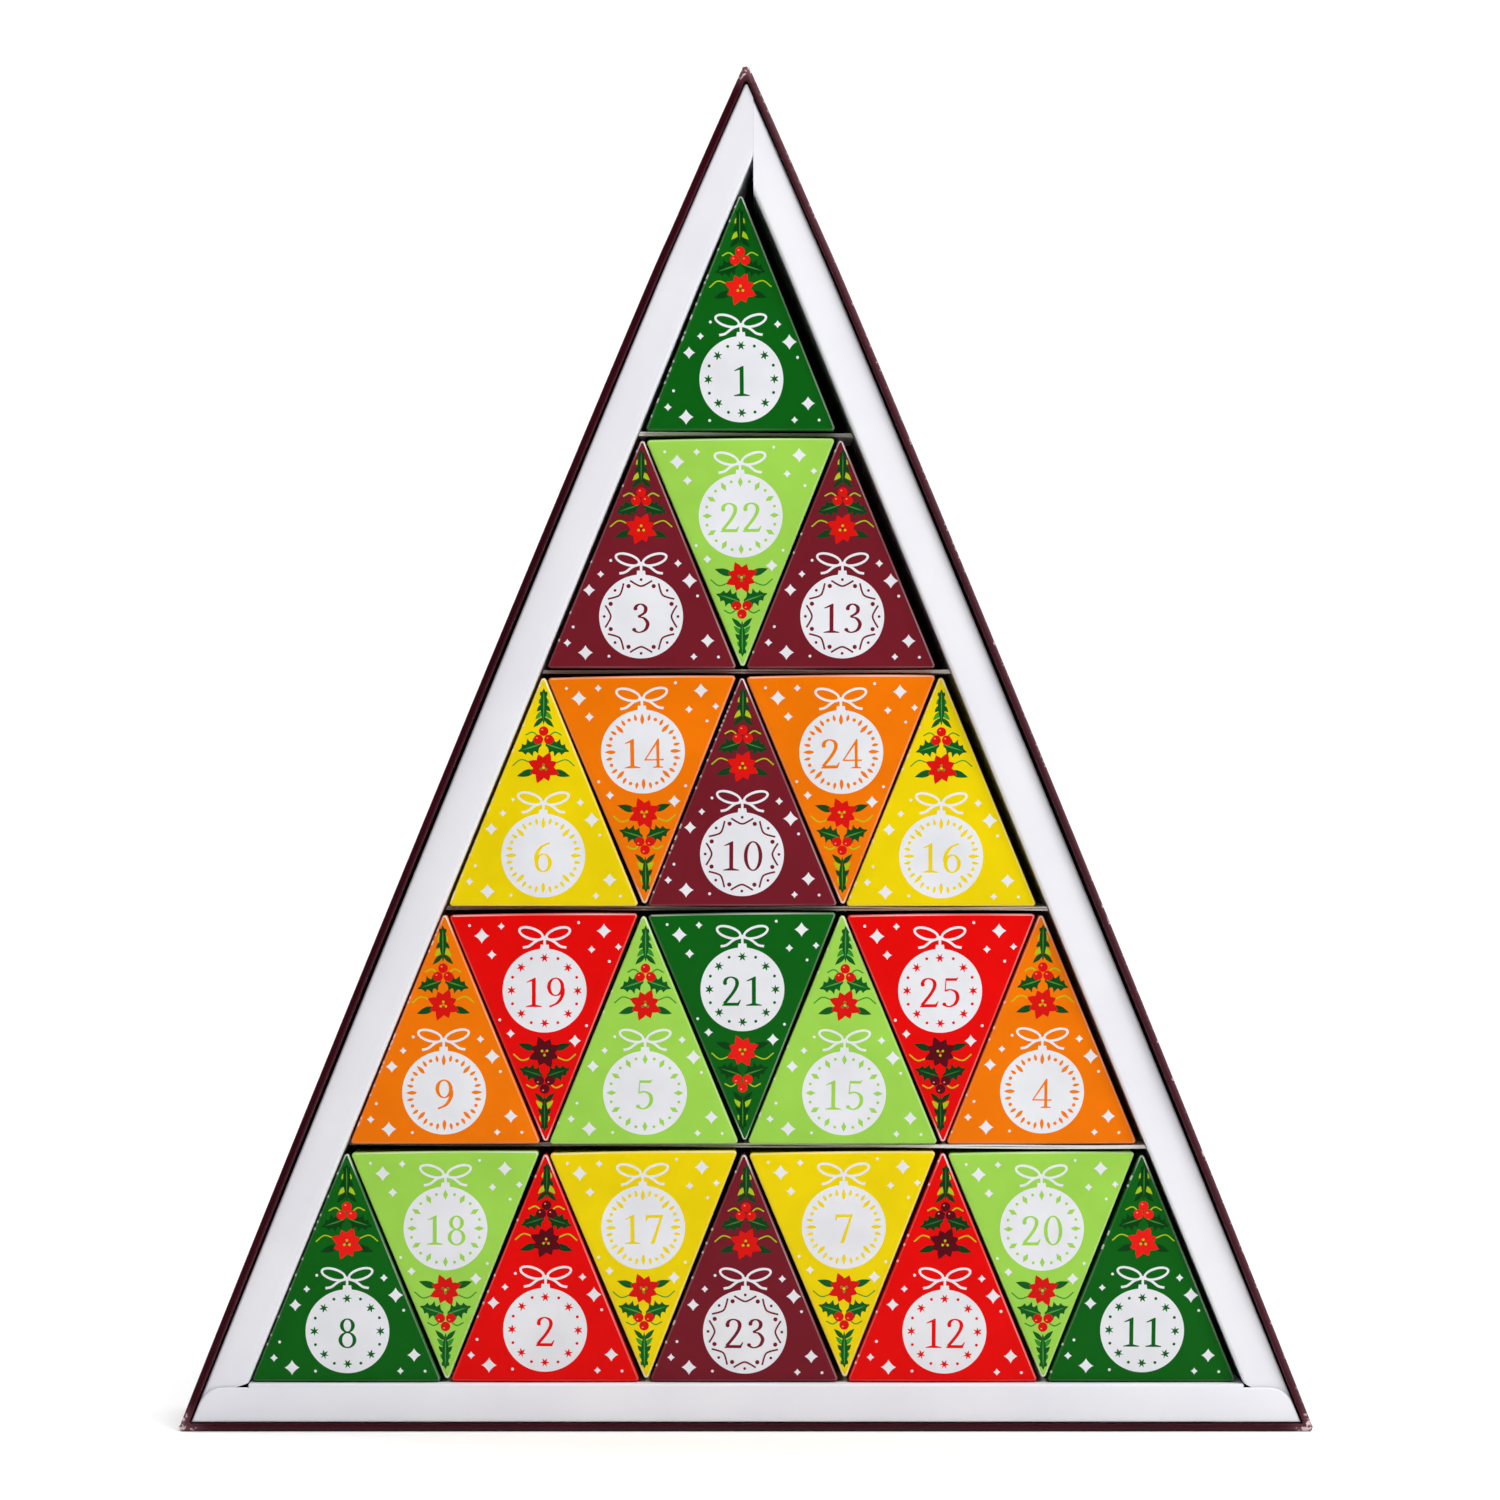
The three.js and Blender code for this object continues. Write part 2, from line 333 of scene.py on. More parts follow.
@dataclass(frozen=True)
class TeaMesh:
    """Woven tea bag mesh over dry leaf: a fine pale net, with dark curled leaf showing through low down."""

    thread: float = 0.55 * MM  # real threads are 0.2 mm apart, and are drawn as coarse as they need to show
    leaf: float = 1.6 * MM
    leaf_depth: float = 0.1 * MM
    cover: float = 0.6  # how much of what lies behind them the threads hide

    def material(self) -> bpy.types.Material:
        """Makes the material, whose leaf stands as high as the attribute fill says.

        Returns:
            The material.
        """
        shade = Shading("woven_tea_bag_mesh")
        fill = shade.node("Attribute", output="Fac", attribute_name="fill")
        around = shade.node("Attribute", output="Fac", attribute_name="around")
        tone = shade.node("SeparateColor", [shade.node("TexVoronoi", {"Scale": 1 / self.leaf}, "Color")])
        leaf = shade.node("Mix", {0: tone, 6: "#1d130a", 7: "#6b4b28"}, 2, data_type="RGBA")
        ragged = shade.node("Math", [fill, tone, 0.12], operation="MULTIPLY_ADD")
        heap = shade.node("MapRange", [ragged, 0.62, 0.66, 0.0, 1.0])
        behind = shade.node("Mix", {0: heap, 6: "#ded7c4", 7: leaf}, 2, data_type="RGBA")
        threads = []
        for along in (shade.node("SeparateXYZ", [shade.place], "Z"), around):
            turned = shade.node("Math", [along, 2 * math.pi / self.thread], operation="MULTIPLY")
            wave = shade.node("Math", [turned], operation="SINE")
            threads.append(shade.node("MapRange", [wave, 0.1, 0.6, 0.0, 1.0]))
        net = shade.node("Math", threads, operation="MAXIMUM")
        share = shade.node("Math", [net, self.cover], operation="MULTIPLY")
        colour = shade.node("Mix", {0: share, 6: behind, 7: "#f1ede2"}, 2, data_type="RGBA")
        return shade.finish({"Base Color": colour, "Roughness": 0.55}, [(tone, self.leaf_depth)])


class Finishes:
    """The object's materials, made once each."""

    def __init__(self) -> None:
        """Makes the materials."""
        self.printed = PrintedBoard().material()
        self.raw = RawBoard().material()
        self.frame_card = CoatedCard("coated_frame_card", "#f1f1f6", "#eaeaf1").material()
        # the shelves' card is greyer than the frame's, partly painted shade on their recessed front edges
        self.shelf_card = CoatedCard("coated_shelf_card", "#e8e5e0", "#cdc8c0").material()
        self.wrap = WrapPaper().material()
        self.tea_mesh = TeaMesh().material()


# Plans and surfaces


@dataclass(frozen=True)
class Wedge:
    """An isosceles triangle in the plan, standing on its wide edge or hanging from it.

    Attributes:
        x: where the middle of the wide edge is.
        z: the height of the wide edge.
        height: from the wide edge to the tip.
        up: 1 where the tip points up, or -1 where it points down.
    """

    x: float
    z: float
    height: float
    up: int = 1

    def corners(self, base: float, right: float, left: float) -> np.ndarray:
        """Gives the corners with each side moved outwards.

        The sides are sin z + cos x = sin height + right, sin z - cos x = sin height + left and z = -base. A
        hanging wedge is the standing one turned by half a turn, so its right side lies on the left.

        Args:
            base: how far the wide edge moves.
            right: how far the right side moves.
            left: how far the left side moves.

        Returns:
            The left end of the wide edge, its right end and the tip, as an array of 3 plan points.
        """
        half = self.height * TAN
        low_left = (-half - (left + SIN * base) / COS, -base)
        low_right = (half + (right + SIN * base) / COS, -base)
        tip = ((right - left) / (2 * COS), self.height + (right + left) / (2 * SIN))
        return np.array([low_left, low_right, tip]) * self.up + (self.x, self.z)

    def inset(self, distance: float) -> Wedge:
        """Gives the wedge with all three sides moved inwards."""
        height = self.height - distance - distance / SIN
        return Wedge(self.x, self.z + self.up * distance, height, self.up)

    def incentre(self) -> np.ndarray:
        """Gives the point as far from each of the three sides."""
        return np.array([self.x, self.z + self.up * self.height / (1 + 1 / SIN)])


def wedge_round(box_size: float, radius: float) -> float:
    """Gives a wedge's full height from the height of its box, which its rounded tip leaves short."""
    return box_size + radius * (1 / SIN - 1)


def unit(vectors: np.ndarray) -> np.ndarray:
    """Gives the vectors, one in each row, at length 1."""
    return vectors / np.linalg.norm(vectors, axis=-1, keepdims=True)


def rounded_loop(corners: np.ndarray, radius: float, arcs: int, sides: int, ease: float = 0.0) -> np.ndarray:
    """Lays an anticlockwise loop round a triangle with rounded corners.

    Each corner's arc is centre + radius (cos a, sin a), with the centre on the bisector at radius / sin(half
    of the corner's angle). Each side is divided at the shares t + ease ((1 - cos(pi t)) / 2 - t) between two
    arcs.

    Args:
        corners: 3 plan points.
        radius: of the arcs.
        arcs: segments in each arc.
        sides: segments along each side.
        ease: 0 for even segments, up to 1 for the shortest ones at the corners.

    Returns:
        3 * (arcs + sides) plan points: the first corner's arc, the side to the next corner, and so on.
    """
    back = unit(np.roll(corners, 1, 0) - corners)
    ahead = unit(np.roll(corners, -1, 0) - corners)
    half = np.arccos((back * ahead).sum(1)) / 2
    centre = corners + unit(back + ahead) * (radius / np.sin(half))[:, None]
    start = corners + back * (radius / np.tan(half))[:, None]
    first = np.arctan2(*(start - centre).T[::-1])
    angle = first[:, None] + (math.pi - 2 * half)[:, None] * np.linspace(0, 1, arcs + 1)
    arc = centre[:, None] + radius * np.stack([np.cos(angle), np.sin(angle)], -1)
    even = np.linspace(0, 1, sides + 1)[1:-1, None]
    share = even + ease * ((1 - np.cos(math.pi * even)) / 2 - even)
    side = arc[:, None, -1] * (1 - share) + np.roll(arc[:, None, 0], -1, 0) * share
    return np.concatenate([arc, side], 1).reshape(-1, 2)


def at_level(plan: np.ndarray, level: float | np.ndarray) -> np.ndarray:
    """Puts plan points at a level, as points of the model."""
    return np.stack([plan[:, 0], np.broadcast_to(level, len(plan)), plan[:, 1]], -1)


def bridge(rings: np.ndarray) -> np.ndarray:
    """Joins each ring of numbers to the next with quads (r, i), (r + 1, i), (r + 1, i + 1), (r, i + 1)."""
    ahead = np.roll(rings, -1, 1)
    return np.stack([rings[:-1], rings[1:], ahead[1:], ahead[:-1]], -1).reshape(-1, 4)


def fan(ring: np.ndarray, pole: int, first: bool) -> np.ndarray:
    """Closes a ring with triangles to a pole.

    Args:
        ring: the ring's vertex numbers.
        pole: the pole's number.
        first: whether the pole lies before the first ring, and not after the last one.

    Returns:
        A row of vertex numbers for each triangle.
    """
    ahead = np.roll(ring, -1)
    poles = np.full(len(ring), pole)
    return np.stack([poles, ring, ahead] if first else [ring, poles, ahead], -1)


def triangulate(loop: np.ndarray, inner: np.ndarray, edges: np.ndarray) -> tuple[np.ndarray, np.ndarray]:
    """Fills a loop with triangles that follow the given inner points and edges.

    Args:
        loop: plan points of the outline, anticlockwise.
        inner: more plan points.
        edges: pairs of numbers of inner points.

    Returns:
        The plan points, of which the first are those of the loop, and the triangles.
    """
    count = len(loop)
    given = (np.concatenate([loop, inner]) / MM).tolist()
    found = delaunay_2d_cdt(given, (edges + count).tolist(), [list(range(count))], 1, 1e-6, False)
    points, faces = np.array(found[0]) * MM, np.array(found[2])
    faces = faces[is_inside(loop, points[faces].mean(1))]
    kept, faces = np.unique(faces, return_inverse=True)
    return points[kept], faces.reshape(-1, 3)


def is_inside(outline: np.ndarray, points: np.ndarray) -> np.ndarray:
    """Tells which points an outline winds round.

    To the right of such a point, the outline crosses the point's height more often upwards than downwards,
    or less often, and not equally often.

    Args:
        outline: its plan points.
        points: the plan points to tell apart.

    Returns:
        True or False for each point.
    """
    a, b = outline[:, None], np.roll(outline, -1, 0)[:, None]
    side = (b - a)[..., 0] * (points - a)[..., 1] - (b - a)[..., 1] * (points - a)[..., 0]
    above, below = a[..., 1] <= points[:, 1], b[..., 1] > points[:, 1]
    rising = above & below & (side > 0)
    falling = ~above & ~below & (side < 0)
    return rising.sum(0) != falling.sum(0)


class Sheetwork:
    """Gathers the points and faces of one piece, shell by shell, and makes its mesh."""

    SHARP = math.radians(38)  # faces that meet at more than this have a sharp edge

    def __init__(self) -> None:
        """Starts an empty piece."""
        self.points: list[np.ndarray] = []
        self.count = 0
        self.faces: list[np.ndarray] = []
        self.tints: list[np.ndarray] = []
        self.finish: list[np.ndarray] = []
        self.sealed = 0

    def add(self, points: np.ndarray) -> np.ndarray:
        """Adds points.

        Args:
            points: an array of any shape whose last axis is x, y and z.

        Returns:
            Their numbers, in the same shape.
        """
        flat = points.reshape(-1, 3)
        numbers = np.arange(self.count, self.count + len(flat))
        self.points.append(flat)
        self.count += len(flat)
        return numbers.reshape(points.shape[:-1])

    def skin(self, faces: np.ndarray, tint: str | np.ndarray = BOARD_WHITE, finish: int = 0) -> None:
        """Adds faces.

        Args:
            faces: a row of vertex numbers for each face.
            tint: one hex colour, or a linear colour for each face.
            finish: which of the piece's materials they take.
        """
        colours = np.array(linear(tint)) if isinstance(tint, str) else tint
        self.faces.append(faces)
        self.tints.append(np.broadcast_to(colours, (len(faces), 4)))
        self.finish.append(np.full(len(faces), finish))

    def seal(self) -> None:
        """Turns the shell that was just added outwards, by the sign of the volume that it encloses."""
        points = np.concatenate(self.points)
        volume = 0.0
        for faces in self.faces[self.sealed :]:
            corner = points[faces]
            for k in range(1, faces.shape[1] - 1):
                volume += np.einsum("ij,ij->", corner[:, 0], np.cross(corner[:, k], corner[:, k + 1]))
        if volume < 0:
            self.faces[self.sealed :] = [faces[:, ::-1] for faces in self.faces[self.sealed :]]
        self.sealed = len(self.faces)

    def capsule(self, rings: np.ndarray, start: np.ndarray, end: np.ndarray) -> None:
        """Adds a closed shell of rings with a pole at each end.

        Args:
            rings: points by ring and place on the ring.
            start: the pole before the first ring.
            end: the pole after the last ring.
        """
        numbers, poles = self.add(rings), self.add(np.stack([start, end]))
        self.skin(bridge(numbers))
        self.skin(fan(numbers[0], poles[0], True))
        self.skin(fan(numbers[-1], poles[1], False))
        self.seal()

    def closed_sheet(self, outer: np.ndarray, inner: np.ndarray) -> None:
        """Adds two faces of a sheet, joined along all four edges.

        Args:
            outer: points by row and column.
            inner: the other face's points, in the same order.
        """
        numbers = self.add(np.concatenate([outer, inner[::-1]]))
        self.skin(bridge(numbers.T))
        for column in (numbers[:, 0], numbers[::-1, -1]):
            first, second = column[: len(outer)], column[len(outer) :][::-1]
            self.skin(np.stack([first[:-1], first[1:], second[1:], second[:-1]], -1))
        self.seal()

    def make(
        self,
        name: str,
        body: str,
        slot: str,
        materials: list[bpy.types.Material],
        replaced: str | None = None,
        shares: dict[str, np.ndarray] | None = None,
    ) -> None:
        """Makes the mesh object and ties it to the frame.

        Args:
            name: the piece's name.
            body: the CAD body that it moves with.
            slot: the record's material slot; not used.
            materials: the finishes that the faces number.
            replaced: the CAD node that it stands for, if any.
            shares: attributes of the vertices, a number for each.
        """
        self.seal()
        mesh = bpy.data.meshes.new(name)
        faces = [row for block in self.faces for row in block.tolist()]
        mesh.from_pydata(np.concatenate(self.points).tolist(), [], faces)
        for material in materials:
            mesh.materials.append(material)
        mesh.polygons.foreach_set("material_index", np.concatenate(self.finish).astype(np.int32))
        sizes = np.concatenate([np.full(len(block), block.shape[1]) for block in self.faces])
        inks = np.repeat(np.concatenate(self.tints), sizes, axis=0).astype(np.float32)
        mesh.color_attributes.new("print", "FLOAT_COLOR", "CORNER").data.foreach_set("color", inks.ravel())
        for label, values in (shares or {}).items():
            mesh.attributes.new(label, "FLOAT", "POINT").data.foreach_set("value", values.astype(np.float32))
        mesh.polygons.foreach_set("use_smooth", np.ones(len(faces), bool))
        mesh.set_sharp_from_angle(angle=self.SHARP)
        mesh.update()
        piece = bpy.data.objects.new(name, mesh)
        bpy.context.scene.collection.objects.link(piece)
        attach(piece, body)
        if replaced:
            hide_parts(replaced)
        log.info("%s: %d points, %d faces", name, self.count, len(faces))


# Print


@dataclass(frozen=True)
class Patch:
    """A flat area of one ink: its outline in plan metres and its colour."""

    outline: np.ndarray
    ink: str


def ellipse(x: float, z: float, wide: float, high: float, turn: float = 0.0, steps: int = 32) -> np.ndarray:
    """Draws the outline centre + (wide cos a, high sin a), turned.

    Args:
        x: of the centre.
        z: of the centre.
        wide: half of its width.
        high: half of its height.
        turn: in radians.
        steps: points round it.

    Returns:
        The outline.
    """
    a = np.linspace(0, 2 * math.pi, steps, endpoint=False)
    u, v, c, s = wide * np.cos(a), high * np.sin(a), math.cos(turn), math.sin(turn)
    return np.stack([x + u * c - v * s, z + u * s + v * c], -1)


def sparkle(x: float, z: float, reach: float) -> np.ndarray:
    """Draws a four-pointed star: reach (cos a, sin a), each part raised to the power 2.6.

    Args:
        x: of the centre.
        z: of the centre.
        reach: from the centre to each point.

    Returns:
        The outline.
    """
    a = np.linspace(0, 2 * math.pi, 24, endpoint=False)
    c, s = np.cos(a), np.sin(a)
    return np.stack([x + reach * np.sign(c) * abs(c) ** 2.6, z + reach * np.sign(s) * abs(s) ** 2.6], -1)


def blade(
    start: tuple[float, float], end: tuple[float, float], half: float, spikes: int = 0, steps: int = 16
) -> np.ndarray:
    """Gives the outline of a leaf from its stalk to its tip.

    Its half width at the share t of its length is half sin(pi t^0.8). A holly leaf is scalloped by the
    factor 1 - 0.5 |sin(pi spikes t)|, so that a spike stands between two scallops.

    Args:
        start: the stalk's end.
        end: the tip.
        half: its greatest half width.
        spikes: scallops along each side, or 0 for a smooth leaf.
        steps: along each side, or between two spikes.

    Returns:
        Its outline.
    """
    a, b = np.array(start), np.array(end)
    t = np.linspace(0, 1, steps * max(1, spikes // 2) + 1)
    width = half * np.sin(math.pi * t**0.8)
    if spikes:
        width = width * (1 - 0.5 * abs(np.sin(math.pi * spikes * t)))
    along = a + (b - a) * t[:, None]
    across = unit((b - a)[None])[:, ::-1] * (-1, 1)
    upper, lower = along + across * width[:, None], along - across * width[:, None]
    return np.concatenate([upper, lower[-2:0:-1]])


def smooth_path(points: list[tuple[float, float]], steps: int = 6) -> np.ndarray:
    """Lays a Catmull-Rom curve through the points.

    Between p1 and p2 it is half of
    2 p1 + (p2 - p0) t + (2 p0 - 5 p1 + 4 p2 - p3) t^2 + (3 p1 - p0 - 3 p2 + p3) t^3.

    Args:
        points: the plan points that it passes.
        steps: between two of them.

    Returns:
        The curve's points.
    """
    p = np.array(points, float)
    p = np.concatenate([2 * p[:1] - p[1:2], p, 2 * p[-1:] - p[-2:-1]])
    p0, p1, p2, p3 = (q[:, None] for q in (p[:-3], p[1:-2], p[2:-1], p[3:]))
    t = np.linspace(0, 1, steps, endpoint=False)[None, :, None]
    curve = p1 + (p2 - p0) * t / 2 + (2 * p0 - 5 * p1 + 4 * p2 - p3) * t**2 / 2
    curve = curve + (3 * p1 - p0 - 3 * p2 + p3) * t**3 / 2
    return np.concatenate([curve.reshape(-1, 2), p[-2:-1]])


def pen(points: list[tuple[float, float]], wide: float, high: float) -> np.ndarray:
    """Gives the outline of a pen stroke.

    The nib is an ellipse, so the stroke reaches sqrt((wide nx)^2 + (high nz)^2) to each side of the path,
    where (nx, nz) is square to the path.

    Args:
        points: that the stroke passes.
        wide: half of the nib's width.
        high: half of its height.

    Returns:
        The outline.
    """
    path = smooth_path(points)
    square = unit(np.gradient(path, axis=0))[:, ::-1] * (-1, 1)
    reach = np.linalg.norm(square * (wide, high), axis=1, keepdims=True)
    return np.concatenate([path + square * reach, (path - square * reach)[::-1]])


class Numerals:
    """Upright numerals with thick stems, thin joins and small serifs, in units of their height."""

    STEM = 0.056  # half of a stem's width
    HAIR = 0.023  # half of a join's width
    BALL = 0.062  # radius of a stroke's round end
    WIDTH = 0.62  # of the space in which a digit is drawn
    ADVANCE = 0.67  # from one digit to the next
    BREADTH = 1.13  # how much wider than drawn the digits are set

    def bowl(self, x: float, z: float, wide: float, high: float) -> list[tuple[np.ndarray, bool]]:
        """Gives a closed bowl as an inked ellipse and the paper inside it."""
        hollow = ellipse(x, z, wide - 2 * self.STEM, high - 2 * self.HAIR)
        return [(ellipse(x, z, wide, high), True), (hollow, False)]

    def stroke(self, *points: tuple[float, float]) -> tuple[np.ndarray, bool]:
        """Gives a pen stroke through the points."""
        return (pen(list(points), self.STEM, self.HAIR), True)

    def flat(self, *points: tuple[float, float]) -> tuple[np.ndarray, bool]:
        """Gives a straight-edged area, such as a serif or a stem."""
        return (np.array(points), True)

    def ball(self, x: float, z: float) -> tuple[np.ndarray, bool]:
        """Gives the round end of a stroke."""
        return (ellipse(x, z, self.BALL, self.BALL, steps=16), True)

    def shapes(self, digit: str) -> list[tuple[np.ndarray, bool]]:
        """Draws a digit. A 9 is a 6 turned by half a turn.

        Args:
            digit: from 0 to 9.

        Returns:
            Its outlines in the order in which they are laid, each with whether it is inked or left as paper.
        """
        flat, stroke, ball, bowl = self.flat, self.stroke, self.ball, self.bowl
        six = [stroke((0.085, 0.36), (0.11, 0.6), (0.25, 0.85), (0.5, 0.99)), *bowl(0.31, 0.31, 0.26, 0.32)]
        digits = {
            "0": bowl(0.31, 0.5, 0.28, 0.51),
            "1": [
                flat(
                    (0.26, 0.06), (0.38, 0.06), (0.38, 1.0), (0.34, 1.0),
                    (0.1, 0.86), (0.11, 0.83), (0.26, 0.88),
                ),
                flat((0.08, 0.0), (0.56, 0.0), (0.56, 0.03), (0.39, 0.08), (0.25, 0.08), (0.08, 0.03)),
            ],
            "2": [
                stroke(
                    (0.1, 0.78), (0.16, 0.92), (0.3, 0.98), (0.45, 0.9),
                    (0.48, 0.72), (0.36, 0.45), (0.09, 0.07),
                ),
                flat(
                    (0.03, 0.0), (0.53, 0.0), (0.6, 0.2), (0.575, 0.21),
                    (0.5, 0.105), (0.12, 0.105), (0.03, 0.03),
                ),
                ball(0.12, 0.77),
            ],
            "3": [
                stroke((0.12, 0.84), (0.2, 0.95), (0.32, 0.98), (0.44, 0.88), (0.42, 0.7), (0.22, 0.55)),
                stroke((0.22, 0.55), (0.4, 0.5), (0.51, 0.32), (0.44, 0.11), (0.25, 0.02), (0.08, 0.09)),
                ball(0.1, 0.11),
                ball(0.14, 0.83),
            ],
            "4": [
                flat((0.02, 0.29), (0.07, 0.29), (0.42, 0.86), (0.46, 1.0), (0.43, 1.0)),
                flat((0.02, 0.25), (0.6, 0.25), (0.6, 0.3), (0.02, 0.3)),
                flat((0.38, 0.04), (0.47, 0.04), (0.47, 1.0), (0.43, 1.0), (0.38, 0.9)),
                flat((0.27, 0.0), (0.58, 0.0), (0.58, 0.03), (0.47, 0.06), (0.38, 0.06), (0.27, 0.03)),
            ],
            "5": [
                flat((0.14, 0.9), (0.48, 0.9), (0.53, 1.02), (0.51, 1.02), (0.47, 0.99), (0.14, 0.99)),
                flat((0.14, 0.98), (0.175, 0.98), (0.145, 0.55), (0.105, 0.53)),
                stroke(
                    (0.12, 0.56), (0.3, 0.6), (0.46, 0.5), (0.5, 0.3),
                    (0.42, 0.11), (0.25, 0.02), (0.08, 0.08),
                ),
                ball(0.1, 0.1),
            ],
            "6": six,
            "7": [
                flat((0.05, 0.78), (0.08, 0.78), (0.13, 0.89), (0.52, 0.89), (0.58, 0.99), (0.06, 0.99)),
                flat((0.2, 0.0), (0.31, 0.0), (0.58, 0.97), (0.58, 0.99), (0.53, 0.99), (0.49, 0.9)),
            ],
            "8": [*bowl(0.31, 0.26, 0.27, 0.28), *bowl(0.31, 0.755, 0.225, 0.245)],
            "9": [(np.array([self.WIDTH, 1.0]) - shape, inked) for shape, inked in six],
        }
        return digits[digit]

    def write(self, number: int, drop: float, height: float, ink: str, paper: str) -> list[Patch]:
        """Sets a number in the middle of a bauble.

        Args:
            number: of one digit or two.
            drop: how far below the bauble's centre it stands.
            height: of a digit.
            ink: its colour.
            paper: the colour inside its closed bowls.

        Returns:
            The patches, in the order in which they are laid.
        """
        scale = np.array([self.BREADTH, 1.0]) * height
        start = -self.ADVANCE * len(str(number)) / 2 + (self.ADVANCE - self.WIDTH) / 2
        patches = []
        for k, digit in enumerate(str(number)):
            origin = np.array([start + k * self.ADVANCE, -0.5]) * scale + (0.0, -drop)
            shapes = self.shapes(digit)
            patches += [Patch(shape * scale + origin, ink if inked else paper) for shape, inked in shapes]
        return patches


class Ornament(Enum):
    """What runs round the rim of a printed bauble."""

    PETALS = "petals"
    LOZENGES = "lozenges"
    FLAKES = "flakes"
    SWAGS = "swags"


class Ink(Enum):
    """The ground colours of the cartons, by the names of their material slots."""

    DARK_GREEN = "carton_dark_green"
    LIME = "carton_lime"
    BURGUNDY = "carton_burgundy"
    ORANGE = "carton_orange"
    YELLOW = "carton_yellow"
    RED = "carton_red"


@dataclass(frozen=True)
class Palette:
    """The inks of one colour of carton, and the ornament of its baubles."""

    ground: str
    leaf: str
    vein: str
    berry: str
    ornament: Ornament
    needle: str = "#a9c51c"


PALETTES = {
    Ink.DARK_GREEN: Palette("#0b5f14", "#073f12", "#3d8a2b", "#ea1c16", Ornament.FLAKES),
    Ink.LIME: Palette("#9ed551", "#0f5a22", "#4c9c3a", "#d81410", Ornament.LOZENGES, "#2f8f34"),
    Ink.BURGUNDY: Palette("#741c28", "#123f1c", "#3f7c34", "#dd1510", Ornament.SWAGS),
    Ink.ORANGE: Palette("#f27803", "#0f4a1a", "#4a8f2f", "#d91410", Ornament.PETALS),
    Ink.YELLOW: Palette("#efd406", "#0f5a22", "#4c9c3a", "#d91410", Ornament.PETALS, "#3c9a34"),
    Ink.RED: Palette("#e60806", "#0c3a16", "#2f6a2c", "#560b17", Ornament.FLAKES),
}
SPARKLES_STANDING = [
    (-14.4, 21.4, 1.7), (-11.2, 25.8, 1.0), (13.4, 24.0, 2.1), (10.2, 28.8, 1.1), (-15.4, 4.1, 2.1),
    (-20.4, 6.8, 1.1), (18.4, 7.4, 1.9), (14.6, 3.0, 1.0),
]  # each across, from the wide edge towards the tip, and reach, in millimetres
SPARKLES_HANGING = [
    (-17.4, 6.2, 2.1), (-12.0, 3.6, 1.0), (-14.6, 11.4, 1.3), (16.4, 4.8, 2.0), (13.0, 9.9, 1.1),
    (20.4, 9.2, 1.0), (-9.4, 33.2, 1.2), (8.4, 35.2, 1.7),
]
DOTS_STANDING = [(-8.4, 29.6), (15.6, 19.8), (-18.8, 11.2), (21.4, 2.9), (-8.9, 3.1)]
DOTS_HANGING = [(-20.8, 3.4), (17.9, 13.2), (-12.4, 29.4), (11.6, 31.0), (9.4, 2.6)]


